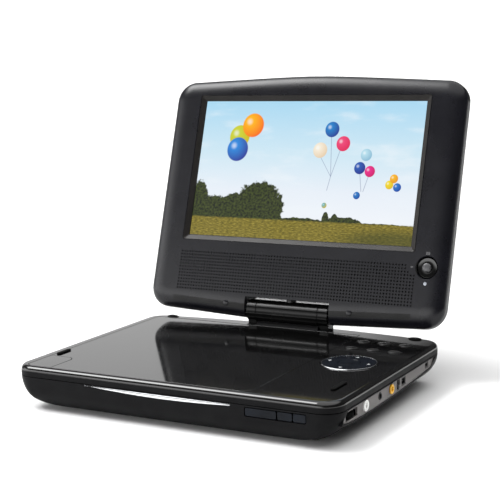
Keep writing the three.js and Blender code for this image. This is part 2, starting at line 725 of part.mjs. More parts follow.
for (const [name, x] of [['speaker_left', -74], ['speaker_right', 74]]) {
  const basket = prismY(oval(x, 28, 19, 12.5), lcd.front, lcd.front + 2, 10);
  const magnet = rodY(x, 28, 8, lcd.front + 1, lcd.front + 8, 20);
  node(name, join(basket, magnet), paint.cone, upright);
}

const bracket = cut(
  join(block(-30, 30, -6.4, 6.4, 14.2, 16), block(-30, 30, 4.6, 6.4, 14.2, 34)),
  rodZ(0, 0, hinge.postRadius - 0.6 + GAP, 10, 20, 24),
);
node('display_bracket', bracket, paint.steel, upright);

const ledLens = rodY(stick.x, 29.8, 1.5, screen.front + 0.1, screen.front + 3.4, 12);
node('led_lens', ledLens, paint.lens, upright);

for (const [name, x] of [['screw_cover_left', -54.8], ['screw_cover_right', 54.8]]) {
  node(name, rodY(x, 3.4, 2.4, screen.front + 0.6, screen.front + 1.6, 16), paint.rubber, upright);
}

function atStick(manifold) {
  return manifold.rotate([90, 0, 0]).translate([stick.x, 0, stick.z]);
}

const stickCap = turned([
  [0, 3.2], [1.8, 3.2], [1.8, 6.4], [7.4, 6.4], [7.7, 7.4], [5.2, 8], [3.4, 8.3],
  [3.3, 9.7], [2.2, 10.3], [0, 10.4],
], 24);
node('joystick_cap', atStick(stickCap), paint.gloss, upright);

const stickGimbal = cut(rodY(stick.x, stick.z, 3.4, -5.6, -4.2, 20), rodY(stick.x, stick.z, 2.1, -8, 0, 20));
node('joystick_gimbal', stickGimbal, paint.inner, upright);

export default player;
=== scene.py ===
import json
import math

import bmesh
import bpy
from mathutils import Matrix, Vector
from mathutils.geometry import delaunay_2d_cdt


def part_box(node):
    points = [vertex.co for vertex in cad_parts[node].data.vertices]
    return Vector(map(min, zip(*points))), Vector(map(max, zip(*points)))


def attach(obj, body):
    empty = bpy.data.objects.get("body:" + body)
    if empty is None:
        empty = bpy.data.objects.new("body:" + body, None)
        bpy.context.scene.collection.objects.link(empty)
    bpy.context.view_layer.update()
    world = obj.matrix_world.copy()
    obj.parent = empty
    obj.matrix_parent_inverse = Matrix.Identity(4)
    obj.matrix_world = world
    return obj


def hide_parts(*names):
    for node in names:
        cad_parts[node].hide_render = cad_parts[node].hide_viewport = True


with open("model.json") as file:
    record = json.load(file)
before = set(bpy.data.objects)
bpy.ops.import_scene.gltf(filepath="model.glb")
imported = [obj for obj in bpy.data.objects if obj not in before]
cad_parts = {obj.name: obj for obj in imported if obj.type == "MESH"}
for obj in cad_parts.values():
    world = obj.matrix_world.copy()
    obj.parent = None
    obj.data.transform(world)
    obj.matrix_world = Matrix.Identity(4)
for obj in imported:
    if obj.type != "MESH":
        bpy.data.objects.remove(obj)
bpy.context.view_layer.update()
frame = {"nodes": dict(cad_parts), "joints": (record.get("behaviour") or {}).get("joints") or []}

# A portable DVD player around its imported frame. Helpers and dimensions are in millimetres, in one
# of two frames: the desk frame (x right, y back from the base's front edge, z up from the table)
# and the screen frame (x right, y back from the hinge axis, z up along the leaned-back screen).

MM = 0.001
joints = {joint["name"]: joint for joint in frame["joints"]}
swivel_axis = joints["screen_swivel"]["axis"]
lean = math.atan2(swivel_axis[1], swivel_axis[2])
to_metres = Matrix.Diagonal((MM, MM, MM, 1))
DESK = Matrix.Translation((0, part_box("lower_shell")[0].y, 0)) @ to_metres
SCREEN = Matrix.Translation(joints["screen_tilt"]["pos_m"]) @ Matrix.Rotation(-lean, 4, "X") @ to_metres


def box_mm(node, space=DESK):
    """A node's lowest and highest corners in a millimetre frame; only the desk frame is upright."""
    low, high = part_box(node)
    back = space.inverted()
    return back @ low, back @ high


top_low, top_high = box_mm("top_shell")
HALF = top_high.x  # half the base's width
DECK = top_high.z
SEAM = top_low.z  # part line of the two base shells
MID_DEPTH = top_high.y  # the base's depth on its centre line
SIDE_DEPTH = MID_DEPTH - 7  # the back bows by 7 mm
WALL = 2.2
HULL_FLOOR = box_mm("lower_shell")[0].z


# ------------------------------------------------------------------------------ outlines

def arc(cx, cy, rx, ry, start, end, steps=8):
    """Points on an elliptical arc, angles in degrees, both ends included."""
    angles = [math.radians(start + (end - start) * i / steps) for i in range(steps + 1)]
    return [(cx + rx * math.cos(a), cy + ry * math.sin(a)) for a in angles]


def circle(cx, cy, radius, steps=48):
    return arc(cx, cy, radius, radius, 0, 360, steps)[:-1]


def ellipse(cx, cy, rx, ry, steps=40):
    return arc(cx, cy, rx, ry, 0, 360, steps)[:-1]


def rounded(x0, x1, y0, y1, r, steps=6):
    return (
        arc(x1 - r, y0 + r, r, r, -90, 0, steps)
        + arc(x1 - r, y1 - r, r, r, 0, 90, steps)
        + arc(x0 + r, y1 - r, r, r, 90, 180, steps)
        + arc(x0 + r, y0 + r, r, r, 180, 270, steps)
    )


def plan_outline(inset, front_inset=None, corner=15):
    """The base seen from above, with a bowed back; front_inset also moves the back in."""
    along = inset if front_inset is None else front_inset
    w = HALF - inset
    rx = max(corner - min(inset, 8), 2)
    ry = max(corner - min(along, 8), 2)
    side = SIDE_DEPTH - along
    rise = MID_DEPTH - SIDE_DEPTH
    reach = w - rx
    back = [(x, side + rise * (1 - (x / reach) ** 2)) for x in (reach * (1 - i / 12) for i in range(25))]
    return (
        arc(w - rx, along + ry, rx, ry, -90, 0, 10)
        + arc(w - rx, side - ry, rx, ry, 0, 84, 9)
        + back
        + arc(rx - w, side - ry, rx, ry, 96, 180, 9)
        + arc(rx - w, along + ry, rx, ry, 180, 270, 10)
    )


def at_height(points, z):
    return [(x, y, z) for x, y in points]


def facing(points, y):
    """(x, z) points of an outline on the screen's front, at depth y."""
    return [(x, y, z) for x, z in points]


def across(points, x):
    """(y, z) points of an outline seen from the side, at x."""
    return [(x, y, z) for y, z in points]


# ------------------------------------------------------------------------------ mesh building

def contains(loop, point):
    """Whether a closed outline goes round a point."""
    odd = False
    for a, b in zip(loop, loop[1:] + loop[:1]):
        if (a.y > point.y) == (b.y > point.y):
            continue
        crossing = a.x + (b.x - a.x) * (point.y - a.y) / (b.y - a.y)
        if point.x < crossing:
            odd = not odd
    return odd


class Skin:
    """Points and faces of one closed surface, in millimetres."""

    def __init__(self):
        self.points = []
        self.faces = []

    def ring(self, points):
        first = len(self.points)
        self.points.extend(points)
        return list(range(first, len(self.points)))

    def bridge(self, a, b):
        for i, (p, q) in enumerate(zip(a, b)):
            j = (i + 1) % len(a)
            self.faces.append((p, a[j], b[j], q))

    def rings(self, loops):
        """Lays loops of equal length one after another, and returns the first and the last."""
        made = [self.ring(loop) for loop in loops]
        for a, b in zip(made, made[1:]):
            self.bridge(a, b)
        return made[0], made[-1]

    def closed_rings(self, loops):
        """Lays loops one after another, and joins the last to the first."""
        made = [self.ring(loop) for loop in loops]
        for a, b in zip(made, made[1:] + made[:1]):
            self.bridge(a, b)
        return self

    def turned_ring(self, profile, centre, steps=96):
        """A ring about Z; a closed profile of (radius, height) that never meets the axis."""
        return self.closed_rings([at_height(circle(*centre, r, steps), z) for r, z in profile])

    def fill(self, outer, holes=(), axes=(0, 1)):
        """A flat face with holes, split into triangles."""
        order, edges = [], []
        for loop in (outer, *holes):
            first = len(order)
            order += loop
            edges += [(first + i, first + (i + 1) % len(loop)) for i in range(len(loop))]
        flat = [Vector((self.points[i][axes[0]], self.points[i][axes[1]])) for i in order]
        places = {i: flat[k] for k, i in enumerate(order)}
        cut = [[places[i] for i in hole] for hole in holes]
        inside = 1
        faces, origins = delaunay_2d_cdt(flat, edges, [], inside, 1e-5)[2:4]
        for face in faces:
            corners = tuple(order[origins[i][0]] for i in face)
            middle = sum((places[i] for i in corners), Vector((0, 0))) / len(corners)
            if not any(contains(hole, middle) for hole in cut):
                self.faces.append(corners)

    def lathe(self, profile, steps=48, centre=(0, 0)):
        """A closed turned body about Z; a profile of (radius, height) that starts and ends at radius 0."""
        rows = [
            self.ring(at_height(circle(*centre, radius, steps), z)) if radius else self.ring([(*centre, z)])
            for radius, z in profile
        ]
        for a, b in zip(rows, rows[1:]):
            if len(a) == 1 and len(b) == 1:
                continue
            if len(a) == 1:
                self.faces.extend((a[0], b[i], b[(i + 1) % steps]) for i in range(steps))
            elif len(b) == 1:
                self.faces.extend((a[i], a[(i + 1) % steps], b[0]) for i in range(steps))
            else:
                self.bridge(a, b)
        return self


def mesh_of(name, skin, space):
    mesh = bpy.data.meshes.new(name)
    bm = bmesh.new()
    verts = [bm.verts.new(space @ Vector(point)) for point in skin.points]
    for face in skin.faces:
        corners = [verts[i] for i in dict.fromkeys(face)]
        if len(corners) > 2 and not bm.faces.get(corners):
            bm.faces.new(corners)
    bmesh.ops.remove_doubles(bm, verts=bm.verts, dist=2e-6)
    bmesh.ops.dissolve_degenerate(bm, edges=bm.edges, dist=1e-7)
    bmesh.ops.recalc_face_normals(bm, faces=bm.faces)
    if bm.calc_volume(signed=True) < 0:
        bmesh.ops.reverse_faces(bm, faces=bm.faces)
    bm.to_mesh(mesh)
    bm.free()
    return mesh


def shade(thing, angle):
    """Smooth shading up to an angle, with the large flat faces keeping their own direction."""
    thing.data.shade_smooth()
    thing.data.set_sharp_from_angle(angle=math.radians(angle))
    weighted = thing.modifiers.new("normals", "WEIGHTED_NORMAL")
    weighted.keep_sharp = True
    weighted.weight = 90


def piece(name, skin, space, material, body, *stands_for, slot=None, smooth=38):
    thing = bpy.data.objects.new(name, mesh_of(name, skin, space))
    bpy.context.scene.collection.objects.link(thing)
    thing.data.materials.append(material)
    shade(thing, smooth)
    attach(thing, body)
    if stands_for:
        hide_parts(*stands_for)
    return thing


def carve(thing, tool_skin, space, operation="DIFFERENCE"):
    """Cuts or joins with a closed tool, and keeps the result as the piece's own mesh."""
    tool = bpy.data.objects.new("tool", mesh_of("tool", tool_skin, space))
    bpy.context.scene.collection.objects.link(tool)
    for modifier in list(thing.modifiers):
        thing.modifiers.remove(modifier)
    boolean = thing.modifiers.new("carve", "BOOLEAN")
    boolean.object = tool
    boolean.operation = operation
    boolean.solver = "EXACT"
    graph = bpy.context.evaluated_depsgraph_get()
    result = bpy.data.meshes.new_from_object(thing.evaluated_get(graph))
    thing.modifiers.remove(boolean)
    thing.data = result
    bpy.data.objects.remove(tool)


def slab(points, place, low, high, lip=0.25, steps=3, inset=None):
    """A plate with an outline and softly rounded edges; inset(points, d) shrinks the outline."""
    skin = Skin()
    shrink = inset or shrink_towards_centre
    turns = [math.radians(90 * i / steps) for i in range(steps + 1)]
    down = [(lip * (1 - math.sin(t)), high - lip * (1 - math.cos(t))) for t in turns]
    up = [(d, low + high - z) for d, z in reversed(down)]
    first, last = skin.rings([place(shrink(points, d), z) for d, z in down + up])
    axes = (0, 2) if place is facing else (1, 2) if place is across else (0, 1)
    skin.fill(first, axes=axes)
    skin.fill(last, axes=axes)
    return skin


def rounded_slab(sides, r, place, low, high, lip=0.25, steps=3):
    """A slab with a rounded rectangle as its outline."""
    x0, x1, y0, y1 = sides

    def inset(_, d):
        return rounded(x0 + d, x1 - d, y0 + d, y1 - d, r - d)

    return slab(inset(None, 0), place, low, high, lip, steps, inset)


def shrink_towards_centre(points, d):
    """Moves each point of a closed outline inwards by d, square to its neighbours."""
    if not d:
        return points
    area = sum(a[0] * b[1] - b[0] * a[1] for a, b in zip(points, points[1:] + points[:1]))
    side = 1 if area > 0 else -1
    moved = []
    for i, (x, y) in enumerate(points):
        before, after = points[i - 1], points[(i + 1) % len(points)]
        dx, dy = after[0] - before[0], after[1] - before[1]
        length = math.hypot(dx, dy) or 1
        moved.append((x - side * d * dy / length, y + side * d * dx / length))
    return moved


# ------------------------------------------------------------------------------ materials

def nodes_of(name):
    material = bpy.data.materials.new(name)
    material.use_nodes = True
    tree = material.node_tree
    return material, tree, tree.nodes["Principled BSDF"]


def noise(tree, scale, detail=3.0):
    where = tree.nodes.new("ShaderNodeTexCoord")
    texture = tree.nodes.new("ShaderNodeTexNoise")
    texture.inputs["Scale"].default_value = scale
    texture.inputs["Detail"].default_value = detail
    tree.links.new(where.outputs["Object"], texture.inputs["Vector"])
    return texture.outputs["Fac"]


def spread(tree, source, low, high):
    """Maps a noise to the range low..high."""
    ranged = tree.nodes.new("ShaderNodeMapRange")
    ranged.inputs["From Min"].default_value = 0.3
    ranged.inputs["From Max"].default_value = 0.7
    ranged.inputs["To Min"].default_value = low
    ranged.inputs["To Max"].default_value = high
    tree.links.new(source, ranged.inputs["Value"])
    return ranged.outputs["Result"]


def two_tone(tree, source, dark, light):
    ramp = tree.nodes.new("ShaderNodeValToRGB")
    ramp.color_ramp.elements[0].position = 0.3
    ramp.color_ramp.elements[1].position = 0.7
    ramp.color_ramp.elements[0].color = (*dark, 1)
    ramp.color_ramp.elements[1].color = (*light, 1)
    tree.links.new(source, ramp.inputs["Fac"])
    return ramp.outputs["Color"]


def grain(tree, shader, scale, height, detail=3.0):
    bump = tree.nodes.new("ShaderNodeBump")
    bump.inputs["Strength"].default_value = 1.0
    bump.inputs["Distance"].default_value = height * MM
    tree.links.new(noise(tree, scale, detail), bump.inputs["Height"])
    tree.links.new(bump.outputs["Normal"], shader.inputs["Normal"])


def plastic(name, dark, light, rough, mottle=90, grain_scale=2500, grain_height=0.004, metallic=0.0,
            specular=0.5, smudge=35):
    """Moulded plastic, rubber or metal: two close tones, uneven roughness and a fine grain."""
    material, tree, shader = nodes_of(name)
    tree.links.new(two_tone(tree, noise(tree, mottle), dark, light), shader.inputs["Base Color"])
    tree.links.new(spread(tree, noise(tree, smudge, 5.0), *rough), shader.inputs["Roughness"])
    grain(tree, shader, grain_scale, grain_height)
    shader.inputs["Metallic"].default_value = metallic
    shader.inputs["Specular IOR Level"].default_value = specular
    return material


gloss_black = plastic("gloss_black", (0.002, 0.002, 0.002), (0.003, 0.003, 0.003), (0.06, 0.10),
                      grain_scale=60, grain_height=0.006)
satin_black = plastic("satin_black", (0.004, 0.004, 0.0045), (0.006, 0.006, 0.0065), (0.42, 0.50),
                      grain_scale=3000, grain_height=0.006, specular=0.06)
bezel_charcoal = plastic("bezel_charcoal", (0.0035, 0.0035, 0.0055), (0.0050, 0.0050, 0.0075), (0.25, 0.31),
                         grain_scale=2600, grain_height=0.004, specular=0.28)
recess_charcoal = plastic("recess_charcoal", (0.012, 0.011, 0.010), (0.017, 0.015, 0.014), (0.36, 0.42),
                          grain_scale=2600, grain_height=0.003, specular=0.15)
hinge_black = plastic("hinge_black", (0.003, 0.003, 0.003), (0.004, 0.004, 0.004), (0.22, 0.30),
                      grain_scale=300, grain_height=0.002, specular=0.18)
grille_dark = plastic("grille_dark", (0.002, 0.002, 0.002), (0.004, 0.004, 0.004), (0.7, 0.8))
inner_plastic = plastic("inner_plastic", (0.026, 0.028, 0.030), (0.036, 0.038, 0.041), (0.5, 0.6))
soft_rubber = plastic("soft_rubber", (0.001, 0.001, 0.001), (0.002, 0.002, 0.002), (0.75, 0.88),
                      grain_scale=1800, grain_height=0.02, specular=0.1)
bright_trim = plastic("bright_trim", (0.74, 0.75, 0.77), (0.82, 0.83, 0.85), (0.12, 0.2), metallic=1.0,
                      grain_scale=900, grain_height=0.001)
plain_steel = plastic("plain_steel", (0.42, 0.43, 0.44), (0.55, 0.56, 0.57), (0.28, 0.42), metallic=1.0,
                      grain_scale=2200, grain_height=0.003)
smoked_window = plastic("smoked_window", (0.003, 0.004, 0.006), (0.006, 0.008, 0.012), (0.10, 0.15),
                        grain_scale=70, grain_height=0.004, specular=0.12)
port_grey = plastic("port_grey", (0.105, 0.096, 0.094), (0.135, 0.124, 0.121), (0.42, 0.52),
                    grain_scale=1600, grain_height=0.02)
# light grey for the rim strip round the jack panel: a painted highlight line along the panel's edge
painted_edge_highlight = plastic("painted_edge_highlight", (0.30, 0.29, 0.28), (0.38, 0.37, 0.36), (0.3, 0.4))
port_white = plastic("port_white", (0.86, 0.86, 0.84), (0.92, 0.92, 0.90), (0.35, 0.45))
port_black = plastic("port_black", (0.006, 0.006, 0.006), (0.010, 0.010, 0.010), (0.35, 0.45))
port_yellow = plastic("port_yellow", (0.78, 0.40, 0.01), (0.86, 0.47, 0.02), (0.3, 0.4))
circuit_board = plastic("circuit_board", (0.010, 0.075, 0.030), (0.016, 0.110, 0.045), (0.35, 0.5),
                        mottle=400)
cell_wrap = plastic("cell_wrap", (0.020, 0.050, 0.150), (0.030, 0.070, 0.190), (0.3, 0.4))
speaker_paper = plastic("speaker_paper", (0.012, 0.012, 0.013), (0.022, 0.022, 0.023), (0.8, 0.9),
                        grain_scale=1200, grain_height=0.05)
print_grey = plastic("print_grey", (0.42, 0.43, 0.44), (0.50, 0.51, 0.52), (0.5, 0.6))
print_dim = plastic("print_dim", (0.10, 0.10, 0.105), (0.13, 0.13, 0.135), (0.5, 0.6))
knob_grey = plastic("knob_grey", (0.050, 0.050, 0.053), (0.065, 0.065, 0.068), (0.30, 0.38))
lens_grey = plastic("lens_grey", (0.24, 0.26, 0.30), (0.32, 0.34, 0.38), (0.15, 0.22))
lens_blue = plastic("lens_blue", (0.02, 0.03, 0.12), (0.04, 0.05, 0.20), (0.03, 0.06))


PICTURE_ASPECT = 1.72  # the picture's width over its height


def calculate(tree, operation, a, b=0.0):
    """A math node; each input is a number or another node's output."""
    node = tree.nodes.new("ShaderNodeMath")
    node.operation = operation
    for socket, value in zip(node.inputs, (a, b)):
        if isinstance(value, (int, float)):
            socket.default_value = value
        else:
            tree.links.new(value, socket)
    return node.outputs["Value"]


def smooth_step(tree, value, start, end, low=0.0, high=1.0):
    """The value low up to start, high from end on, and a smooth change between."""
    node = tree.nodes.new("ShaderNodeMapRange")
    node.interpolation_type = "SMOOTHSTEP"
    for key, number in (("From Min", start), ("From Max", end), ("To Min", low), ("To Max", high)):
        node.inputs[key].default_value = number
    tree.links.new(value, node.inputs["Value"])
    return node.outputs["Result"]


class Picture:
    """Nodes that draw the demonstration picture on the lit panel from its own 0..1 coordinates."""

    def __init__(self, tree):
        self.tree = tree
        self.uv = tree.nodes.new("ShaderNodeTexCoord").outputs["UV"]
        parts = tree.nodes.new("ShaderNodeSeparateXYZ")
        tree.links.new(self.uv, parts.inputs["Vector"])
        self.u, self.v = parts.outputs["X"], parts.outputs["Y"]
        self.colour = None

    def math(self, operation, a, b=0.0):
        return calculate(self.tree, operation, a, b)

    def plus(self, a, b):
        return calculate(self.tree, "ADD", a, b)

    def minus(self, a, b):
        return calculate(self.tree, "SUBTRACT", a, b)

    def times(self, a, b):
        return calculate(self.tree, "MULTIPLY", a, b)

    def smooth(self, value, low, high):
        return smooth_step(self.tree, value, low, high)

    def ramp(self, value, stops):
        node = self.tree.nodes.new("ShaderNodeValToRGB")
        elements = node.color_ramp.elements
        while len(elements) < len(stops):
            elements.new(0.5)
        for element, (position, colour) in zip(elements, stops):
            element.position = position
            element.color = (*colour, 1)
        self.tree.links.new(value, node.inputs["Fac"])
        return node.outputs["Color"]

    def noise(self, scale, stretch=1.0, detail=4.0):
        mapping = self.tree.nodes.new("ShaderNodeMapping")
        mapping.inputs["Scale"].default_value = (PICTURE_ASPECT, stretch, 1)
        self.tree.links.new(self.uv, mapping.inputs["Vector"])
        texture = self.tree.nodes.new("ShaderNodeTexNoise")
        texture.inputs["Scale"].default_value = scale
        texture.inputs["Detail"].default_value = detail
        self.tree.links.new(mapping.outputs["Vector"], texture.inputs["Vector"])
        return texture.outputs["Fac"]

    def over(self, mask, colour):
        """Lays a colour, or another colour's output, over the picture so far."""
        node = self.tree.nodes.new("ShaderNodeMix")
        node.data_type = "RGBA"
        self.tree.links.new(mask, node.inputs["Factor"])
        self.tree.links.new(self.colour, node.inputs["A"])
        if isinstance(colour, tuple):
            node.inputs["B"].default_value = (*colour, 1)
        else:
            self.tree.links.new(colour, node.inputs["B"])
        self.colour = node.outputs["Result"]

    def distance(self, u, v, ru, rv, wobble=None):
        du = self.math("DIVIDE", self.minus(self.u, u), ru)
        dv = self.math("DIVIDE", self.minus(self.v, v), rv)
        away = self.math("SQRT", self.plus(self.times(du, du), self.times(dv, dv)))
        return self.plus(away, wobble) if wobble else away

    def disc(self, u, v, ru, rv, edge=0.06, wobble=None):
        inside = self.smooth(self.distance(u, v, ru, rv, wobble), 1 - edge, 1 + edge)
        return self.minus(1.0, inside)


def lcd_material():
    material, tree, shader = nodes_of("lcd_picture")
    picture = Picture(tree)
    sky = [
        (0.0, (0.90, 0.92, 0.95)), (0.35, (0.80, 0.86, 0.93)),
        (0.62, (0.62, 0.80, 0.90)), (1.0, (0.40, 0.69, 0.88)),
    ]
    picture.colour = picture.ramp(picture.v, sky)
    haze = picture.times(picture.smooth(picture.noise(2.2, 3.2, 6.0), 0.50, 0.72), 0.5)
    picture.over(haze, (0.86, 0.91, 0.95))
    # far trees and bushes, then the meadow in front of them and the shade on its right
    leaf_tones = [(0.35, (0.006, 0.010, 0.004)), (0.65, (0.060, 0.080, 0.014))]
    leaf = picture.ramp(picture.noise(60, 1.0), leaf_tones)
    ragged = picture.times(picture.minus(picture.noise(26, 1.0), 0.5), 0.55)
    bushes = [
        (0.09, 0.17, 0.11, 0.13), (0.20, 0.20, 0.08, 0.12), (0.31, 0.21, 0.115, 0.20),
        (0.02, 0.20, 0.05, 0.20), (0.50, 0.11, 0.16, 0.05), (0.70, 0.12, 0.09, 0.06),
        (0.66, 0.15, 0.015, 0.05), (0.62, 0.15, 0.015, 0.06), (0.85, 0.11, 0.2, 0.035),
    ]
    for u, v, ru, rv in bushes:
        picture.over(picture.disc(u, v, ru, rv, 0.05, ragged), leaf)
    grass_tones = [
        (0.30, (0.090, 0.080, 0.008)), (0.55, (0.240, 0.190, 0.022)), (0.72, (0.400, 0.330, 0.055)),
    ]
    grass_tone = picture.ramp(picture.noise(40, 3.5), grass_tones)
    uneven = picture.times(picture.minus(picture.noise(14), 0.5), 0.02)
    hill = picture.plus(picture.v, uneven)
    picture.over(picture.minus(1.0, picture.smooth(hill, 0.132, 0.146)), grass_tone)
    shade_mask = picture.times(picture.disc(0.93, 0.02, 0.22, 0.07, 0.5), 0.6)
    picture.over(shade_mask, (0.030, 0.045, 0.008))
    # strings, then balloons: u, v, radius as a share of the width, dark side, light side
    strings = [
        (0.605, 0.75, 0.622, 0.46), (0.566, 0.60, 0.622, 0.46), (0.652, 0.655, 0.622, 0.46),
        (0.622, 0.46, 0.612, 0.36), (0.748, 0.49, 0.762, 0.36), (0.787, 0.475, 0.770, 0.36),
    ]
    for u0, v0, u1, v1 in strings:
        span = picture.math("DIVIDE", picture.minus(picture.v, v0), v1 - v0)
        line = picture.plus(picture.times(span, u1 - u0), u0)
        away = picture.math("ABSOLUTE", picture.minus(picture.u, line))
        thin = picture.minus(1.0, picture.smooth(away, 0.0008, 0.0022))
        inside = picture.times(picture.smooth(span, -0.01, 0.01),
                              picture.minus(1.0, picture.smooth(span, 0.99, 1.01)))
        shown = picture.times(picture.times(thin, inside), 0.55)
        picture.over(shown, (0.16, 0.20, 0.34))
    balloons = [
        (0.182, 0.735, 0.047, (0.62, 0.50, 0.01), (0.60, 0.66, 0.04)),
        (0.240, 0.819, 0.049, (0.95, 0.16, 0.01), (1.00, 0.50, 0.01)),
        (0.179, 0.641, 0.049, (0.03, 0.05, 0.33), (0.03, 0.27, 0.75)),
        (0.605, 0.794, 0.031, (0.02, 0.05, 0.30), (0.02, 0.24, 0.62)),
        (0.562, 0.645, 0.031, (0.80, 0.62, 0.42), (0.93, 0.86, 0.72)),
        (0.661, 0.694, 0.030, (0.75, 0.02, 0.10), (0.86, 0.07, 0.20)),
        (0.767, 0.618, 0.024, (0.26, 0.50, 0.66), (0.50, 0.76, 0.86)),
        (0.745, 0.525, 0.024, (0.02, 0.03, 0.26), (0.03, 0.12, 0.48)),
        (0.790, 0.503, 0.022, (0.62, 0.01, 0.14), (0.85, 0.03, 0.28)),
        (0.879, 0.414, 0.0170, (0.75, 0.50, 0.02), (0.90, 0.72, 0.02)),
        (0.896, 0.457, 0.0172, (0.80, 0.30, 0.01), (0.95, 0.52, 0.02)),
        (0.913, 0.398, 0.0166, (0.01, 0.06, 0.36), (0.03, 0.20, 0.62)),
        (0.745, 0.333, 0.0146, (0.01, 0.07, 0.36), (0.03, 0.22, 0.58)),
        (0.609, 0.255, 0.0110, (0.60, 0.45, 0.03), (0.10, 0.45, 0.50)),
    ]
    for u, v, radius, dark, light in balloons:
        rv = radius * PICTURE_ASPECT * 1.04
        mask = picture.disc(u, v, radius, rv, 0.05)
        toned = picture.distance(u - 0.35 * radius, v + 0.35 * rv, 1.5 * radius, 1.5 * rv)
        picture.over(mask, picture.ramp(toned, [(0.15, light), (0.95, dark)]))
        glint = picture.disc(u - 0.38 * radius, v + 0.30 * rv, 0.22 * radius, 0.22 * rv, 0.8)
        picture.over(picture.times(glint, 0.5), (0.95, 0.97, 1.0))
    tree.links.new(picture.colour, shader.inputs["Emission Color"])
    shader.inputs["Emission Strength"].default_value = 1.0
    shader.inputs["Specular IOR Level"].default_value = 0.2
    shader.inputs["Base Color"].default_value = (0.004, 0.004, 0.005, 1)
    tree.links.new(spread(tree, noise(tree, 40), 0.22, 0.28), shader.inputs["Roughness"])
    grain(tree, shader, 1500, 0.001)
    return material


lcd_picture = lcd_material()


# ------------------------------------------------------------------------------ base: top shell

EDGE = {"width": 3.8, "height": 3.6}  # the deck's rolled rim
LIP = 0.28
TURNS = [math.radians(a) for a in (0, 15, 30, 45, 60, 75, 90)]

lid_low, lid_high = box_mm("disc_lid")
tab_low, tab_high = box_mm("open_tab")
LID = {"left": tab_low.x, "right": lid_high.x, "front": lid_low.y, "back": lid_high.y, "corner": 9}
lid_pivot = joints["lid_hinge"]["pos_m"]
LID_AXIS = {"y": lid_pivot[1] / MM - DESK.translation.y / MM, "z": lid_pivot[2] / MM}
TAB = {"right": tab_high.x, "back": tab_high.y, "inner": 6, "outer": 4}
GAP = 0.3
nav_low, nav_high = box_mm("nav_ring")
NAV = {
    "x": (nav_low.x + nav_high.x) / 2,
    "y": (nav_low.y + nav_high.y) / 2,
    "radius": (nav_high.x - nav_low.x) / 2,
}
KEYS = ["stop", "play", "menu", "setup", "display", "mode"]


def lid_opening(grow):
    """The deck's opening for the lid and the tab, grown outwards."""
    left, right = LID["left"] - GAP - grow, LID["right"] + GAP + grow
    front, back = LID["front"] - GAP - grow, LID["back"] + GAP + grow
    near, tab_corner = LID["corner"] + GAP + grow, TAB["outer"] + GAP + grow
    square = 0.6 + grow
    return (
        arc(right - near, front + near, near, near, -90, 0, 8)
        + arc(right - square, back - square, square, square, 0, 90, 4)
        + arc(left + square, back - square, square, square, 90, 180, 4)
        + arc(left + tab_corner, front + tab_corner, tab_corner, tab_corner, 180, 270, 6)
    )


def nav_opening(grow):
    """The deck's opening for the navigation ring, grown outwards."""
    return circle(NAV["x"], NAV["y"], NAV["radius"] + 0.5 + grow, 96)


def key_place(name):
    low, high = box_mm(name + "_button")
    return (low.x + high.x) / 2, (low.y + high.y) / 2, (high.x - low.x) / 2, (high.y - low.y) / 2


def deck_hole(skin, grown, top, under):
    """An opening with a rounded lip: grown(g) is its outline moved outwards by g."""
    lips = [at_height(grown(LIP * (1 - math.sin(t))), top - LIP * (1 - math.cos(t))) for t in TURNS[::2]]
    return skin.rings(lips + [at_height(grown(0), under)])


def make_top_shell():
    skin = Skin()
    rim = [(EDGE["width"] * (1 - math.sin(t)), DECK - EDGE["height"] * (1 - math.cos(t))) for t in TURNS]
    outside = rim + [(0, SEAM + 0.5), (0.15, SEAM + 0.12), (0.4, SEAM)]
    inside = [(WALL, SEAM), (WALL, DECK - 3.4), (WALL + 0.9, DECK - 2.5)]
    top, under = skin.rings([at_height(plan_outline(d), z) for d, z in outside + inside])
    holes = [deck_hole(skin, lid_opening, DECK, DECK - 2.5)]
    holes.append(deck_hole(skin, nav_opening, DECK, DECK - 2.5))
    for name in KEYS:
        x, y, rx, ry = key_place(name)
        holes.append(deck_hole(skin, lambda g: ellipse(x, y, rx + GAP + g, ry + GAP + g), DECK, DECK - 2.5))
    skin.fill(top, [first for first, last in holes])
    skin.fill(under, [last for first, last in holes])
    shell = piece("top_shell_skin", skin, DESK, gloss_black, "base", "top_shell", slot="gloss_black")
    shell.data.materials.append(satin_black)
    for face in shell.data.polygons:
        if face.center.z / MM < DECK - EDGE["height"] + 0.4:
            face.material_index = 1


make_top_shell()


# ------------------------------------------------------------------------------ base: lid and tab

def lid_loop(d, z, rear):
    """The lid's outline at one height; rear is the (y, z) that its rolled back edge has there."""
    left, right = LID["left"] + d, LID["right"] - d
    front = LID["front"] + d
    corner = LID["corner"] - d
    tab_side = TAB["right"] + GAP + d
    tab_back = TAB["back"] + GAP + d
    inner = TAB["inner"] + d
    before = LID_AXIS["y"] - 1
    y_back, z_back = rear
    flat = (
        arc(right - corner, front + corner, corner, corner, -90, 0, 10)
        + [(right, before)]
    )
    far = (
        [(left, before)]
        + [(left, tab_back)]
        + arc(tab_side - inner, tab_back - inner, inner, inner, 90, 0, 8)
        + [(tab_side, front)]
    )
    return at_height(flat, z) + [(right, y_back, z_back), (left, y_back, z_back)] + at_height(far, z)


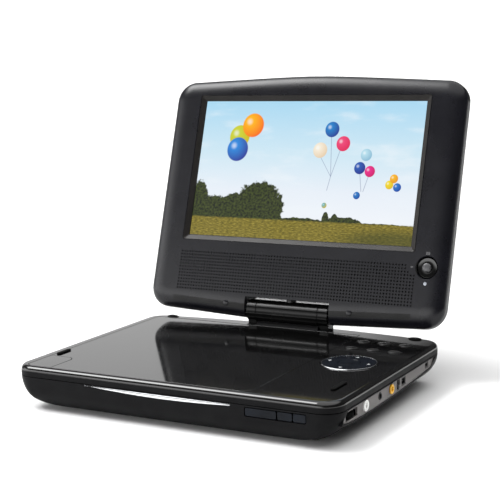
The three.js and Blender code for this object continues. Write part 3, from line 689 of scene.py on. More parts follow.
def make_lid():
    skin = Skin()
    under = 2.3
    loops = []
    roll = DECK - LID_AXIS["z"]
    for t in TURNS:
        rear = (LID_AXIS["y"] + roll * math.sin(t), LID_AXIS["z"] + roll * math.cos(t))
        loops.append(lid_loop(LIP * (1 - math.sin(t)), DECK - LIP * (1 - math.cos(t)), rear))
    for turn, drop in ((100, 0.5), (115, 0.8), (130, 1)):
        t = math.radians(turn)
        rear = (LID_AXIS["y"] + roll * math.sin(t), LID_AXIS["z"] + roll * math.cos(t))
        loops.append(lid_loop(0, DECK - LIP - (under - LIP) * drop, rear))
    loops.append(lid_loop(0.1, DECK - under, (LID_AXIS["y"] - 0.5, DECK - under)))
    top, bottom = skin.rings(loops)
    skin.fill(top)
    skin.fill(bottom)
    piece("disc_lid_plate", skin, DESK, gloss_black, "lid", "disc_lid", slot="gloss_black")


def make_lid_underside():
    """Ribs and the latch hook under the lid."""
    low, high = box_mm("turntable")
    x, y = (low.x + high.x) / 2, (low.y + high.y) / 2
    skin = Skin()
    z0, z1 = DECK - 3.5, DECK - 2.25
    for outer in (60, 44):
        section = [(outer, z1), (outer, z0 + 0.2), (outer - 0.2, z0), (outer - 1.8, z0),
                   (outer - 2, z0 + 0.2), (outer - 2, z1)]
        skin.turned_ring(section, (x, y))
    ribs = piece("lid_ribs", skin, DESK, satin_black, "lid", slot="satin_black")
    carve(ribs, box_skin(-200, 200, -10, 9, 0, 60), DESK)
    shade(ribs, 38)
    hook_outline = [(12.7, 24.6), (16.4, 24.6), (16.4, 29.9), (13.6, 29.9), (13.6, 26), (12.7, 25.4)]
    hook = slab(hook_outline, across, -91, -87, 0.2)
    piece("lid_hook", hook, DESK, satin_black, "lid", slot="satin_black")


def box_skin(x0, x1, y0, y1, z0, z1):
    skin = Skin()
    corners = [(x0, y0), (x1, y0), (x1, y1), (x0, y1)]
    first, last = skin.rings([at_height(corners, z0), at_height(corners, z1)])
    skin.faces += [tuple(first), tuple(last)]
    return skin


def make_tab():
    left, right = LID["left"], TAB["right"]
    front, back = LID["front"], TAB["back"]
    near, far = TAB["outer"], TAB["inner"]
    outline = (
        [(right, front)]
        + arc(right - far, back - far, far, far, 0, 90, 10)
        + [(left, back)]
        + arc(left + near, front + near, near, near, 180, 270, 8)
    )
    plate = slab(outline, at_height, DECK - 1.6, DECK, LIP)
    piece("open_tab_plate", plate, DESK, gloss_black, "open_tab", "open_tab", slot="gloss_black")
    stem = slab(rounded(-113, -105, 16, 27, 1), at_height, tab_low.z, DECK - 1.5, 0.3)
    piece("open_tab_stem", stem, DESK, inner_plastic, "open_tab", slot="inner_plastic")


make_lid()
make_lid_underside()
make_tab()


# ------------------------------------------------------------------------------ base: lower shell

def hull_loop(turn, inset, z_floor):
    """One level of the hull: turn is 0 at the rim and 90 at the floor, degrees."""
    t = math.radians(turn)
    top = SEAM - 0.3
    height = 23.6 - inset
    keel = 16 - inset
    z = z_floor + height * (1 - math.sin(t))
    side = inset + (30 - inset) * (1 - math.cos(t))
    drop = z_floor + keel - z
    along = inset + (keel - math.sqrt(max(keel * keel - drop * drop, 0)) if drop > 0 else 0)
    corner = 15 + 9 * (1 - math.cos(t))
    return at_height(plan_outline(side, along, corner), min(z, top))


PANEL_FACE = box_mm("lower_shell")[1].x - 1  # the flat jack panel's outer face


def panel_outline(inset):
    """The jack panel in (y, z): straight top, bowed bottom."""
    top = SEAM - 0.6 - inset

    def curve(p0, p1, p2, steps):
        points = []
        for i in range(1, steps + 1):
            s = i / steps
            near, between, far = (1 - s) ** 2, 2 * s * (1 - s), s * s
            points.append(tuple(near * a + between * b + far * c for a, b, c in zip(p0, p1, p2)))
        return points

    start = (11.5 + 1.3 * inset, 16 + inset)
    middle = (47, 13.1 + inset)
    return (
        [(17 + inset, top), start]
        + curve(start, (16 + inset, 13.6 + inset), middle, 8)
        + curve(middle, (110, 12.5 + inset), (166 - inset, 16.8 + inset), 16)
        + [(175 - 1.5 * inset, top)]
    )


def prism(points, place, low, high):
    skin = Skin()
    first, last = skin.rings([place(points, low), place(points, high)])
    axes = (0, 2) if place is facing else (1, 2) if place is across else (0, 1)
    skin.fill(first, axes=axes)
    skin.fill(last, axes=axes)
    return skin


def make_lower_shell():
    skin = Skin()
    steps = 12
    rim = ((0.5, 0.3), (0.12, 0.42), (0, 0.8))
    outer = [at_height(plan_outline(d), SEAM - drop) for d, drop in rim]
    outer += [hull_loop(90 * i / steps, 0, HULL_FLOOR) for i in range(1, steps + 1)]
    inner = [hull_loop(90 * i / steps, WALL, HULL_FLOOR + WALL) for i in range(steps, 0, -1)]
    inner += [at_height(plan_outline(WALL), SEAM - 0.3)]
    outer_rim, outer_floor = skin.rings(outer)
    inner_floor, inner_rim = skin.rings(inner)
    skin.fill(outer_floor)
    skin.fill(inner_floor)
    skin.bridge(inner_rim, outer_rim)
    shell = piece("lower_shell_hull", skin, DESK, satin_black, "base", "lower_shell", slot="satin_black")
    boss = slab(panel_outline(-1), across, 112, PANEL_FACE, 0.35)
    carve(shell, boss, DESK, "UNION")
    carve(shell, prism(panel_outline(0.6), across, PANEL_FACE - 2.1, 140), DESK)
    carve(shell, prism(panel_outline(1.7), across, 100, PANEL_FACE), DESK)
    carve(shell, box_skin(96, 123, 20, 162, 14.8, SEAM + 1), DESK)
    carve(shell, box_skin(118, PANEL_FACE - 1.9, 100.5, 108, 15, SEAM - 0.9), DESK)
    carve(shell, prism(crescent(0, 0), facing, -2, 0.8), DESK)
    carve(shell, prism(rounded(62.1, 107.3, 16.6, 23.2, 1.4), facing, -2, 6), DESK)
    shade(shell, 32)


def crescent(inset, layer):
    """The bright trim on the front in (x, z): layer 0 whole, 1 the lower band, 2 the upper line."""
    left, right = -70 + 14 * inset, 52 - inset
    top = 23.9 - inset
    count = 24
    xs = [left + (right - left) * i / count for i in range(count + 1)]

    def belly(x):
        s = (x + 70) / 122
        return (1 - s) ** 2 * 23.9 + 2 * s * (1 - s) * 18.6 + s * s * 22.6 + inset

    low = [(x, min(belly(x), top - 0.02)) for x in xs]
    if layer == 0:
        return low + [(right, top)]
    middle = [z + 0.68 * (top - z) for x, z in low]
    if layer == 1:
        return low + [(x, max(m - 0.12, z + 0.02)) for (x, z), m in reversed(list(zip(low, middle)))]
    upper = [(x, min(max(m + 0.18, z + 0.03), top - 0.02)) for (x, z), m in zip(low, middle)]
    return upper + [(right, top), (left, top)]


make_lower_shell()

lower_band = prism(crescent(0.3, 1), facing, -0.4, 0.5)
piece("front_trim_band", lower_band, DESK, bright_trim, "base", "front_trim", slot="bright_trim")
upper_line = prism(crescent(0.3, 2), facing, -0.25, 0.5)
piece("front_trim_line", upper_line, DESK, bright_trim, "base", slot="bright_trim")

for index, (x0, x1) in enumerate([(62.7, 85.4), (86.4, 96.9), (97.7, 106.7)]):
    pane = slab(rounded(x0, x1, 17.2, 22.6, 0.9), facing, 0.2, 2.6, 0.25)
    replaced = ["ir_window"] if index == 0 else []
    piece(f"ir_pane_{index + 1}", pane, DESK, smoked_window, "base", *replaced, slot="smoked_window")


# ------------------------------------------------------------------------------ base: right side

def beside(skin):
    """Turns a lathe about Z into one about X, along +X."""
    skin.points = [(z, x, y) for x, y, z in skin.points]
    return skin


def make_jack(name, node, y, z, radius, face, material, slot_name):
    """A phone jack: domed collar, mouth with a chamfer and a metal spring sleeve inside."""
    profile = [
        (0, 110), (radius - 0.2, 110), (radius - 0.2, face - 0.9), (radius, face - 0.7),
        (radius, face - 0.25), (radius - 0.25, face), (2.15, face), (1.85, face - 0.3), (1.8, face - 1),
        (1.8, 113), (0, 113),
    ]
    collar = beside(Skin().lathe(profile, 48, (y, z)))
    piece(name + "_collar", collar, DESK, material, "base", node, slot=slot_name)
    lining = [(0, 113.2), (1.7, 113.2), (1.7, face - 3), (1.45, face - 3), (1.45, 115), (0, 115)]
    sleeve = beside(Skin().lathe(lining, 32, (y, z)))
    piece(name + "_sleeve", sleeve, DESK, plain_steel, "base", slot="plain_steel")


JACK_Z = 19
JACKS = [
    ("headphone", 3.9, port_white, "port_white"),
    ("line", 2.6, port_black, "port_black"),
    ("av", 3.5, port_yellow, "port_yellow"),
]
for label, collar_radius, material, slot_name in JACKS:
    low, high = box_mm(label + "_jack")
    jack_y = (low.y + high.y) / 2
    make_jack(label, label + "_jack", jack_y, JACK_Z, collar_radius, high.x, material, slot_name)

# a raised rim strip round the jack panel; its shape is real, its light grey is a painted highlight along the
# panel's edge
x_edge = PANEL_FACE - 0.15
edge_section = [(0.15, PANEL_FACE - 0.6), (0.15, x_edge), (0.25, x_edge + 0.1), (0.55, x_edge + 0.1),
                (0.65, x_edge), (0.65, PANEL_FACE - 0.6)]
edge = Skin().closed_rings([across(panel_outline(d), x) for d, x in edge_section])
piece("jack_panel_edge_highlight", edge, DESK, painted_edge_highlight, "base", slot="bright_trim")


def make_wheel():
    low, high = box_mm("volume_wheel")
    cx, cy, radius = (low.x + high.x) / 2, (low.y + high.y) / 2, (high.x - low.x) / 2
    teeth, per_tooth = 36, 6

    def toothed(shrink):
        points = []
        for i in range(teeth * per_tooth):
            a = 2 * math.pi * i / (teeth * per_tooth)
            dip = 0.22 * (1 - math.cos(teeth * a)) ** 2 / 2
            r = radius - shrink - dip
            points.append((cx + r * math.cos(a), cy + r * math.sin(a)))
        return points

    bore = circle(cx, cy, 1.8, teeth * per_tooth)
    levels = [
        (bore, low.z), (toothed(0.5), low.z), (toothed(0.1), low.z + 0.3), (toothed(0), low.z + 0.7),
        (toothed(0), high.z - 0.7), (toothed(0.1), high.z - 0.3), (toothed(0.5), high.z), (bore, high.z),
    ]
    skin = Skin().closed_rings([at_height(points, z) for points, z in levels])
    piece("volume_wheel_rim", skin, DESK, soft_rubber, "volume_wheel", "volume_wheel",
          slot="soft_rubber", smooth=50)


make_wheel()


# ------------------------------------------------------------------------------ base: rubber pieces

def centre_of(node):
    low, high = box_mm(node)
    return (low.x + high.x) / 2, (low.y + high.y) / 2, low, high


for place in ("front_left", "front_middle", "front_right", "rear_left", "rear_right"):
    node = "foot_" + place
    x, y, low, high = centre_of(node)
    profile = [(0, 0), (4.4, 0), (5.1, 0.12), (5.7, 0.45), (6, 0.9), (6, high.z), (0, high.z)]
    pad = Skin().lathe(profile, 40, (x, y))
    piece(node + "_pad", pad, DESK, soft_rubber, "base", node, slot="soft_rubber")

for node in ["rear_bumper_left", "rear_bumper_right"]:
    x, y, low, high = centre_of(node)
    rx, ry, tall = (high.x - low.x) / 2, (high.y - low.y) / 2, high.z - low.z
    dome = Skin()
    levels = [(math.cos(t), low.z + tall * math.sin(t)) for t in TURNS[:-1]]
    first, last = dome.rings([at_height(ellipse(x, y, rx * s, ry * s), z) for s, z in levels])
    dome.faces += [tuple(first), tuple(last)]
    piece(node + "_dome", dome, DESK, soft_rubber, "base", node, slot="soft_rubber")

for node, body in [("front_pad_left", "lid"), ("front_pad_right", "base")]:
    x, y, low, high = centre_of(node)
    strip = rounded_slab((low.x, high.x, low.y, high.y), 1.85, at_height, low.z - 0.05, high.z, 0.7, 4)
    piece(node + "_strip", strip, DESK, soft_rubber, body, node, slot="soft_rubber")


# ------------------------------------------------------------------------------ base: buttons

for name in KEYS:
    x, y, rx, ry = key_place(name)
    low, high = box_mm(name + "_button")
    profile = [
        (1.0, DECK - 1.8), (1.0, DECK + 0.15), (0.975, DECK + 0.35), (0.92, DECK + 0.55),
        (0.8, DECK + 0.75), (0.62, DECK + 0.88), (0.4, DECK + 0.96), (0.18, DECK + 1.0),
    ]
    skin = Skin()
    first, last = skin.rings([at_height(ellipse(x, y, rx * s, ry * s), z) for s, z in profile])
    skin.faces += [tuple(first), tuple(last)]
    piece(name + "_key", skin, DESK, hinge_black, name + "_button", name + "_button",
          slot="gloss_black", smooth=50)
    stem = Skin().lathe([(0, low.z), (1.6, low.z), (1.6, DECK - 2), (0, DECK - 2)], 24, (x, y))
    piece(name + "_stem", stem, DESK, inner_plastic, name + "_button", slot="inner_plastic")


def make_navigation():
    x, y, radius, top = NAV["x"], NAV["y"], NAV["radius"], nav_high.z
    enter_low, enter_high = box_mm("enter_button")
    enter_radius = (enter_high.x - enter_low.x) / 2
    profile = [
        (radius - 0.6, top - 0.1), (radius - 0.6, top - 1.3), (12, top - 1.3), (12, nav_low.z),
        (enter_radius + GAP, nav_low.z), (enter_radius + GAP, top - 0.2),
        (enter_radius + GAP + 0.2, top), (radius - 0.8, top),
    ]
    disc = Skin().turned_ring(profile, (x, y))
    piece("nav_disc", disc, DESK, smoked_window, "nav_ring", "nav_ring", slot="smoked_window")
    profile = [
        (radius - 0.55, top - 1.2), (radius, top - 1.2), (radius, top - 0.25),
        (radius - 0.15, top - 0.05), (radius - 0.45, top - 0.05), (radius - 0.55, top - 0.12),
    ]
    ring = Skin().turned_ring(profile, (x, y))
    piece("nav_bright_ring", ring, DESK, bright_trim, "nav_ring", slot="bright_trim")
    glyph = radius * 0.76
    for index in range(4):
        turn = math.radians(90 * index)
        sine, cosine = math.sin(turn), math.cos(turn)
        gx, gy = x + glyph * sine, y + glyph * cosine
        shape = [(-1.5, -0.9), (1.5, -0.9), (0, 1.3)]
        points = [(gx + a * cosine + b * sine, gy - a * sine + b * cosine) for a, b in shape]
        mark = prism(points, at_height, top - 0.05, top + 0.03)
        piece(f"nav_mark_{index + 1}", mark, DESK, print_grey, "nav_ring", slot="port_white")
    crown = [
        (0, enter_low.z), (1.6, enter_low.z), (1.6, DECK - 2.6), (enter_radius, DECK - 2.6),
        (enter_radius, enter_high.z - 0.3), (enter_radius - 0.1, enter_high.z - 0.1),
        (enter_radius - 0.35, enter_high.z), (4, enter_high.z - 0.15), (0, enter_high.z - 0.25),
    ]
    piece("enter_crown", Skin().lathe(crown, 64, (x, y)), DESK, smoked_window, "enter_button", "enter_button",
          slot="smoked_window")


make_navigation()


# ------------------------------------------------------------------------------ hinge

barrel_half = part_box("hinge_barrel")[1].x / MM
HINGE_R = 8.6
HINGE_AXIS = (188.4, 43.0)  # the tilt shaft in the desk frame's (y, z)
SHAFT_BORE = 2.7


def barrel_outline(inset):
    """The barrel's section in the screen frame's (y, z): round behind, hollowed in front."""
    r = HINGE_R - inset
    hollow_r = 7.2 + inset
    hy, hz = -14.6, -1.5
    reach = math.hypot(hy, hz)
    towards = math.degrees(math.atan2(hz, hy))
    outer_cosine = (reach * reach + r * r - hollow_r * hollow_r) / (2 * reach * r)
    inner_cosine = (reach * reach + hollow_r * hollow_r - r * r) / (2 * reach * hollow_r)
    open_angle = math.degrees(math.acos(outer_cosine))
    inner_angle = math.degrees(math.acos(inner_cosine))
    outside = arc(0, 0, r, r, towards + open_angle, towards + 360 - open_angle, 48)
    away = towards + 180
    hollow = arc(hy, hz, hollow_r, hollow_r, away + inner_angle, away - inner_angle, 14)
    return outside + hollow[1:-1]


def ended(section, x0, x1, lip=0.5):
    """A section in (y, z) drawn out along X with rounded ends; section(inset) gives the outline."""
    skin = Skin()
    turns = [math.radians(a) for a in (0, 30, 60, 90)]
    left = [(lip * (1 - math.sin(t)), x0 + lip * (1 - math.cos(t))) for t in turns]
    right = [(d, x0 + x1 - x) for d, x in reversed(left)]
    first, last = skin.rings([across(section(d), x) for d, x in left + right])
    skin.fill(first, axes=(1, 2))
    skin.fill(last, axes=(1, 2))
    return skin


barrel = piece("hinge_barrel_body", ended(barrel_outline, -barrel_half, barrel_half), SCREEN, hinge_black,
               "hinge", "hinge_barrel", slot="gloss_black")
bore = beside(Skin().lathe([(0, -60), (SHAFT_BORE, -60), (SHAFT_BORE, 60), (0, 60)], 32))
carve(barrel, bore, SCREEN)
carve(barrel, Skin().lathe([(0, 3.6), (4.2, 3.6), (4.2, 20), (0, 20)], 32), SCREEN)
shade(barrel, 38)


def ear_foot(inset):
    """The ear's leg in the desk frame's (y, z), from the deck into the round top."""
    hinge_y, hinge_z = HINGE_AXIS
    foot = DECK + GAP
    return [(hinge_y - 4.6 + inset, foot), (hinge_y + 5 - inset, foot), (hinge_y + 6.4 - inset, hinge_z - 3),
            (hinge_y + 4, hinge_z + 2), (hinge_y - 4, hinge_z + 2), (hinge_y - 5.2 + inset, hinge_z - 3)]


for side in ("left", "right"):
    low, high = box_mm("hinge_ear_" + side)
    cap = ended(barrel_outline, low.x, high.x, 0.35)
    ear = piece("hinge_ear_cap_" + side, cap, SCREEN, hinge_black, "base", "hinge_ear_" + side,
                slot="gloss_black")
    carve(ear, ended(ear_foot, low.x + 0.4, high.x - 0.4, 0.3), DESK, "UNION")
    hole = [(0, -34.4), (SHAFT_BORE, -34.4), (SHAFT_BORE, 34.4), (0, 34.4)]
    socket = beside(Skin().lathe(hole, 32, HINGE_AXIS))
    carve(ear, socket, DESK)
    shade(ear, 38)

# a low saddle on the deck under the barrel
saddle = slab(rounded(-36.2, 36.2, 180.9, 193.4, 1.2), at_height, DECK - 0.1, DECK + 0.28, 0.2)
piece("hinge_saddle", saddle, DESK, satin_black, "base", slot="satin_black")
cradle = [(181.4, DECK + 0.1), (194.4, DECK + 0.1)] + arc(*HINGE_AXIS, 9.1, 9.1, -60, -120, 10)
cradle_skin = slab(cradle, across, -27.2, 27.2, 0.1, 2)
piece("hinge_cradle", cradle_skin, DESK, satin_black, "base", slot="satin_black")


def on_front(skin, x, z):
    """Turns a lathe about Z into one that faces the viewer at (x, z); its heights run towards the viewer."""
    skin.points = [(x + a, -c, z + b) for a, b, c in skin.points]
    return skin


# ------------------------------------------------------------------------------ screen housing

HOUSING = {"half": 130.0, "front": -9.5, "part": -2.3, "back": 9.5, "side_top": 189.5, "mid_top": 194.0,
           "side_bottom": -3.8, "mid_bottom": -6.9, "corner": 17.0, "notch": 37.5, "notch_top": 9.4}
WINDOW = {"half": 99.1, "low": 57.5, "high": 172.4}
STICK = {"x": 114.2, "z": 42.1}
LED_Z = 29.8


def housing_outline(inset, wall=0.0):
    """The housing's front outline in (x, z), with the hinge notch grown by wall."""
    h = HOUSING
    w = h["half"] - inset
    r = h["corner"] - inset
    reach = h["half"] - h["corner"]
    notch = h["notch"] + wall
    soft = 30.0
    span = math.hypot(reach, soft)

    def crown(x):
        share = (span - math.hypot(x, soft)) / (span - soft)
        return h["side_top"] + (h["mid_top"] - h["side_top"]) * share - inset

    top = [(reach * (1 - i / 14), crown(reach * (1 - i / 14))) for i in range(29)]
    low_side, low_mid = h["side_bottom"] + inset, h["mid_bottom"] + inset
    bottom = [(notch + (w - r - notch) * i / 10, low_mid + (low_side - low_mid) * i / 10) for i in range(10)]
    return (
        bottom
        + arc(w - r, low_side + r, r, r, -90, 0, 10)
        + arc(w - r, h["side_top"] - inset - r, r, r, 0, 90, 10)[:-1]
        + top
        + arc(r - w, h["side_top"] - inset - r, r, r, 90, 180, 10)[1:]
        + arc(r - w, low_side + r, r, r, 180, 270, 10)
        + [(-x, z) for x, z in reversed(bottom)]
        + [(-notch, h["notch_top"] + wall), (notch, h["notch_top"] + wall)]
    )


def grille(skin):
    """A flat patch of square cells with blind round holes; returns the patch's outer edge."""
    columns, rows = 82, 13
    x0, x1, z0, z1 = -103.3, 106.1, 11.1, 44.4
    dx, dz = (x1 - x0) / columns, (z1 - z0) / rows
    front = HOUSING["front"]
    short_rows = {rows - 1: 3, rows - 2: 3, rows - 3: 2}  # the top rows stop early, by the stick
    corner = []
    for i in range(columns + 1):
        corner.append([skin.ring([(x0 + dx * i, front, z0 + dz * j)])[0] for j in range(rows + 1)])
    radius, depth, around = 0.74, 1.3, 12
    for i in range(columns):
        for j in range(rows):
            square = [corner[i][j], corner[i + 1][j], corner[i + 1][j + 1], corner[i][j + 1]]
            if i >= columns - short_rows.get(j, 0):
                skin.faces.append(tuple(square))
                continue
            cx, cz = x0 + dx * (i + 0.5), z0 + dz * (j + 0.5)
            rim = skin.ring(facing(circle(cx, cz, radius, around), front))
            floor = skin.ring(facing(circle(cx, cz, radius, around), front + depth))
            skin.bridge(rim, floor)
            skin.faces.append(tuple(floor))
            # corners lie at 225, 315, 45 and 135 degrees round the hole
            for k, angle in enumerate((225, 315, 45, 135)):
                at = angle // 30
                beside_corner = [rim[(at + step) % around] for step in range(4)]
                skin.faces.append((square[k], *beside_corner[:2]))
                skin.faces.append((square[k], *beside_corner[1:], square[(k + 1) % 4]))
    edge = (
        [corner[i][0] for i in range(columns)] + [corner[columns][j] for j in range(rows)]
        + [corner[i][rows] for i in range(columns, 0, -1)] + [corner[0][j] for j in range(rows, 0, -1)]
    )
    return edge


def window_outline(grow, corner):
    w = WINDOW
    return rounded(-w["half"] - grow, w["half"] + grow, w["low"] - grow, w["high"] + grow, corner, 6)


def make_bezel():
    h = HOUSING
    front = h["front"]
    skin = Skin()
    roll = {"width": 15.0, "depth": 7.0}
    turns = [math.radians(90 * i / 10) for i in range(11)]
    outside = [(roll["width"] * (1 - math.sin(t)), front + roll["depth"] * (1 - math.cos(t))) for t in turns]
    outside += [(0, h["part"] - 0.1), (0.12, h["part"])]
    inner_roll = {"width": 13.0, "depth": 4.8}
    inside = []
    for t in reversed(turns):
        inner_depth = front + 2.4 + inner_roll["depth"] * (1 - math.cos(t))
        inside.append((WALL + inner_roll["width"] * (1 - math.sin(t)), inner_depth))
    loops = [facing(housing_outline(d), y) for d, y in outside]
    loops += [facing(housing_outline(d, WALL), y) for d, y in [(WALL, h["part"])] + inside[1:]]
    face, back = skin.rings(loops)
    patch = grille(skin)
    skin.fill(face, [patch], axes=(0, 2))
    skin.fill(back, axes=(0, 2))
    bezel = piece("bezel_face", skin, SCREEN, bezel_charcoal, "display", "bezel", slot="bezel_charcoal")
    recess = Skin()
    opening = recess.rings([facing(window_outline(grow, corner), y) for grow, corner, y in
                            [(3.9, 2.0, front - 3), (3.9, 2.0, front + 0.05), (0.5, 0.7, front + 1.9),
                             (0, 0.4, front + 2.0), (0, 0.4, front + 6)]])
    recess.fill(opening[0], axes=(0, 2))
    recess.fill(opening[1], axes=(0, 2))
    carve(bezel, recess, SCREEN)
    groove_section = [(4.7, front - 3), (4.6, front + 0.6), (4.15, front + 0.6), (4.05, front - 3)]
    groove = Skin().closed_rings([facing(window_outline(grow, 2.2), y) for grow, y in groove_section])
    carve(bezel, groove, SCREEN)
    dish = [(0, 2), (8.4, 2), (8.4, -front - 1.3), (8.7, -front - 0.6), (9.1, -front - 0.1),
            (9.1, 20), (0, 20)]
    carve(bezel, on_front(Skin().lathe(dish, 64), STICK["x"], STICK["z"]), SCREEN)
    led_hole = Skin().lathe([(0, 2), (1.65, 2), (1.65, 20), (0, 20)], 24)
    carve(bezel, on_front(led_hole, STICK["x"], LED_Z), SCREEN)
    shade(bezel, 38)
    bezel.data.materials.append(recess_charcoal)
    bezel.data.materials.append(grille_dark)
    local = SCREEN.inverted()
    for face in bezel.data.polygons:
        centre = local @ face.center
        in_width = abs(centre.x) < WINDOW["half"] + 3.95
        in_height = WINDOW["low"] - 3.95 < centre.z < WINDOW["high"] + 3.95
        if in_width and in_height and centre.y < front + 2.1:
            face.material_index = 1
        elif front + 0.3 < centre.y < front + 1.35 and centre.z < 46 and abs(centre.x) < 107:
            face.material_index = 2


def make_rear_cover():
    h = HOUSING
    skin = Skin()
    turns = [math.radians(90 * i / 8) for i in range(9)]
    roll, inner_roll = {"width": 8.0, "depth": 7.0}, {"width": 6.0, "depth": 5.0}
    start = h["part"] + 0.3
    outside = [(0.12, start), (0, start + 0.1)]
    for t in turns:
        outside.append((roll["width"] * (1 - math.cos(t)), h["back"] - roll["depth"] * (1 - math.sin(t))))
    inside = []
    for t in reversed(turns):
        inner_depth = h["back"] - 2 - inner_roll["depth"] * (1 - math.sin(t))
        inside.append((WALL + inner_roll["width"] * (1 - math.cos(t)), inner_depth))
    loops = [facing(housing_outline(d), y) for d, y in outside]
    room = [facing(housing_outline(d, WALL), y) for d, y in inside + [(WALL, start)]]
    outer_rim, outer_back = skin.rings(loops)
    inner_back, inner_rim = skin.rings(room)
    skin.bridge(inner_rim, outer_rim)
    skin.fill(outer_back, axes=(0, 2))
    skin.fill(inner_back, axes=(0, 2))
    piece("rear_cover_shell", skin, SCREEN, hinge_black, "display", "rear_cover", slot="gloss_black")


make_bezel()
make_rear_cover()


def make_lcd():
    front = HOUSING["front"] + 2.7
    w = WINDOW
    plate = slab(rounded(-104, 104, 54.5, 175, 0.8), facing, front + 0.1, front + 4.3, 0.2)
    piece("lcd_frame", plate, SCREEN, port_black, "display", "lcd_panel", slot="port_black")
    glass = Skin()
    edge = 0.35
    outline = rounded(-w["half"] + edge, w["half"] - edge, w["low"] + edge, w["high"] - edge, 0.2, 2)
    first, last = glass.rings([facing(outline, front), facing(outline, front + 0.15)])
    glass.fill(first, axes=(0, 2))
    glass.fill(last, axes=(0, 2))
    screen = piece("lcd_glass", glass, SCREEN, lcd_picture, "display", slot="lcd_picture")
    uv = screen.data.uv_layers.new(name="picture")
    local = SCREEN.inverted()
    for corner in screen.data.loops:
        point = local @ screen.data.vertices[corner.vertex_index].co
        u = (point.x + w["half"]) / (2 * w["half"])
        uv.data[corner.index].uv = (u, (point.z - w["low"]) / (w["high"] - w["low"]))


make_lcd()


def make_stick():
    bowl = [(0, 3.2), (1.8, 3.2), (1.8, 6.4), (7.3, 6.4), (7.65, 6.9), (7.75, 7.5), (7.5, 7.8),
            (7.1, 7.7), (5.6, 7.5), (4.3, 7.55), (0, 7.6)]
    piece("joystick_bowl", on_front(Skin().lathe(bowl, 64), STICK["x"], STICK["z"]), SCREEN, gloss_black,
          "joystick_cap", "joystick_cap", slot="gloss_black")
    knob = [(0, 7.5), (3.2, 7.5), (3.3, 8.2), (3.5, 8.9), (3.5, 9.5), (3.2, 9.95), (2.5, 10.25),
            (1.3, 10.38), (0, 10.4)]
    piece("joystick_knob", on_front(Skin().lathe(knob, 48), STICK["x"], STICK["z"]), SCREEN, knob_grey,
          "joystick_cap", slot="gloss_black")


make_stick()

led = [(0, 6.2), (1.5, 6.2), (1.5, 9.1), (1.35, 9.3), (0.8, 9.42), (0, 9.45)]
piece("led_dome", on_front(Skin().lathe(led, 32), STICK["x"], LED_Z), SCREEN, lens_grey,
      "display", "led_lens", slot="blue_lens")

for side, x in (("left", -54.8), ("right", 54.8)):
    cover = [(0, 7.9), (2.35, 7.9), (2.35, 9.1), (2.2, 9.22), (0, 9.25)]
    piece("screw_plug_" + side, on_front(Skin().lathe(cover, 40), x, 3.4), SCREEN, bezel_charcoal, "display",
          "screw_cover_" + side, slot="soft_rubber")


def make_marks():
    """Two small generic signs by the stick: a page above it and a double arrow beside it."""
    y0, y1 = HOUSING["front"] - 0.02, HOUSING["front"] + 0.05
    signs = {
        "page_top": rounded(112.6, 115.8, 53.6, 54.0, 0.1, 1),
        "page_mid": rounded(112.6, 115.8, 52.8, 53.2, 0.1, 1),
        "page_low": rounded(112.6, 115.8, 52.0, 52.4, 0.1, 1),
        "arrow_left": [(101.3, 42.0), (102.2, 42.7), (102.2, 41.3)],
        "arrow_right": [(103.5, 42.0), (102.6, 41.3), (102.6, 42.7)],
    }
    for name, points in signs.items():
        piece("mark_" + name, prism(points, facing, y0, y1), SCREEN, print_dim, "display", slot="port_white")


make_marks()


# ------------------------------------------------------------------------------ carried-over parts

carried = {
    "disc_tray": satin_black, "jack_panel": port_grey, "dc_jack": port_black, "optical_jack": port_black,
    "power_switch": port_black, "nav_gimbal": inner_plastic, "main_board": circuit_board,
    "battery_pack": cell_wrap, "loader_chassis": plain_steel, "guide_rod_left": bright_trim,
    "guide_rod_right": bright_trim, "spindle_motor": plain_steel, "turntable": port_black,
    "sled_motor": plain_steel, "lead_screw": plain_steel, "pickup": inner_plastic, "tilt_shaft": plain_steel,
    "swivel_post": port_black, "display_board": circuit_board, "speaker_left": speaker_paper,
    "speaker_right": speaker_paper, "display_bracket": plain_steel, "joystick_gimbal": inner_plastic,
}
for node, material in carried.items():
    thing = frame["nodes"][node]
    for material_slot in thing.material_slots:
        material_slot.material = material

lens = Skin().lathe([(0, 19.5), (3.4, 19.5), (3.4, 19.72), (2.6, 19.82), (1.4, 19.88), (0, 19.9)], 40,
                    (centre_of("pickup")[0] - 4.75, centre_of("pickup")[1]))
piece("pickup_lens", lens, DESK, lens_blue, "pickup", slot="blue_lens")


# ------------------------------------------------------------------------------ stage, light, camera

def make_stage():
    size = 12.0
    floor_mesh = bpy.data.meshes.new("floor")
    corners = [(-size, -size, 0), (size, -size, 0), (size, size, 0), (-size, size, 0)]
    floor_mesh.from_pydata(corners, [], [(0, 1, 2, 3)])
    floor = bpy.data.objects.new("floor", floor_mesh)
    bpy.context.scene.collection.objects.link(floor)
    material, tree, shader = nodes_of("pale_floor")
    tones = two_tone(tree, noise(tree, 3), (0.86, 0.86, 0.86), (0.88, 0.88, 0.88))
    tree.links.new(tones, shader.inputs["Base Color"])
    shader.inputs["Roughness"].default_value = 0.6
    shader.inputs["Specular IOR Level"].default_value = 0.2
    floor_mesh.materials.append(material)


# Brightness of the room in each direction.
OVERHEAD = 2.0
SOFTBOX = 13.0
BEHIND = 1.0
AHEAD = 3.6
AMBIENT = 0.12


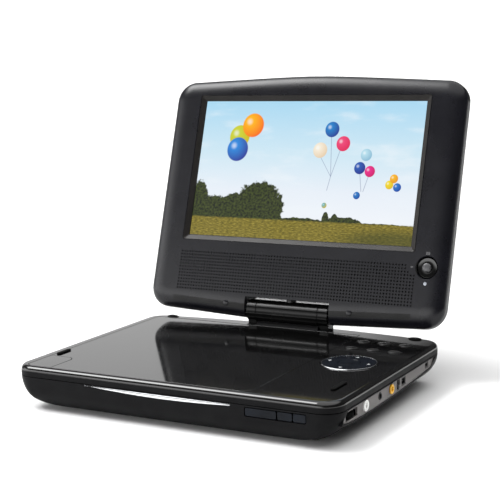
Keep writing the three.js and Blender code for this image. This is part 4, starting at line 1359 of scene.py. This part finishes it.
def make_world():
    """Soft light overhead, a strip high on the left, and glows at the back left and low at the front left.

    The camera itself sees plain white in every direction.
    """
    world = bpy.data.worlds.new("studio")
    world.use_nodes = True
    tree = world.node_tree
    where = tree.nodes.new("ShaderNodeTexCoord")
    path = tree.nodes.new("ShaderNodeLightPath")
    split = tree.nodes.new("ShaderNodeSeparateXYZ")
    tree.links.new(where.outputs["Generated"], split.inputs["Vector"])

    def plus(a, b):
        return calculate(tree, "ADD", a, b)

    def times(a, b):
        return calculate(tree, "MULTIPLY", a, b)

    def ramp(value, start, end, low, high):
        return smooth_step(tree, value, start, end, low, high)

    x, y, z = split.outputs["X"], split.outputs["Y"], split.outputs["Z"]
    front_left = plus(times(x, -0.6), times(y, -0.8))
    back_left = plus(times(x, -0.71), times(y, 0.71))
    overhead = ramp(z, 0.62, 0.85, 0.0, OVERHEAD)
    behind = times(ramp(back_left, 0.88, 0.94, 0.0, BEHIND), ramp(z, 0.35, 0.60, 1.0, 0.0))
    ahead = times(ramp(front_left, 0.45, 0.90, 0.0, AHEAD), ramp(z, 0.26, 0.42, 1.0, 0.0))
    box = times(ramp(x, -0.38, -0.33, SOFTBOX, 0.0), ramp(x, -0.80, -0.70, 0.0, 1.0))
    box = times(box, times(ramp(y, -0.38, -0.30, 0.0, 1.0), ramp(y, 0.0, 0.25, 1.0, 0.0)))
    box = times(box, ramp(z, 0.55, 0.64, 0.0, 1.0))
    glow = plus(plus(overhead, behind), plus(ahead, AMBIENT))
    glow = plus(glow, box)
    seen = times(path.outputs["Is Camera Ray"], 4.0)
    strength = calculate(tree, "MAXIMUM", glow, seen)
    tree.links.new(strength, tree.nodes["Background"].inputs["Strength"])
    tree.nodes["Background"].inputs["Color"].default_value = (1, 1, 1, 1)
    bpy.context.scene.world = world


def make_camera():
    azimuth, elevation, roll = math.radians(29.10), math.radians(9.20), math.radians(-1.50)
    level = math.cos(elevation)
    back = Vector((math.sin(azimuth) * level, -math.cos(azimuth) * level, math.sin(elevation)))
    right = (-back).cross(Vector((0, 0, 1))).normalized()
    up = right.cross(-back)
    turned_right = right * math.cos(roll) + up * math.sin(roll)
    turned_up = up * math.cos(roll) - right * math.sin(roll)
    data = bpy.data.cameras.new("camera")
    data.sensor_width = 36
    data.lens = 91.38
    data.clip_start, data.clip_end = 0.01, 100
    camera = bpy.data.objects.new("camera", data)
    bpy.context.scene.collection.objects.link(camera)
    rotation = Matrix((turned_right, turned_up, back)).transposed().to_4x4()
    camera.matrix_world = Matrix.Translation((0.4556, -0.8211, 0.2552)) @ rotation
    bpy.context.scene.camera = camera


make_stage()
make_camera()
make_world()
bpy.context.scene.view_settings.view_transform = "Standard"
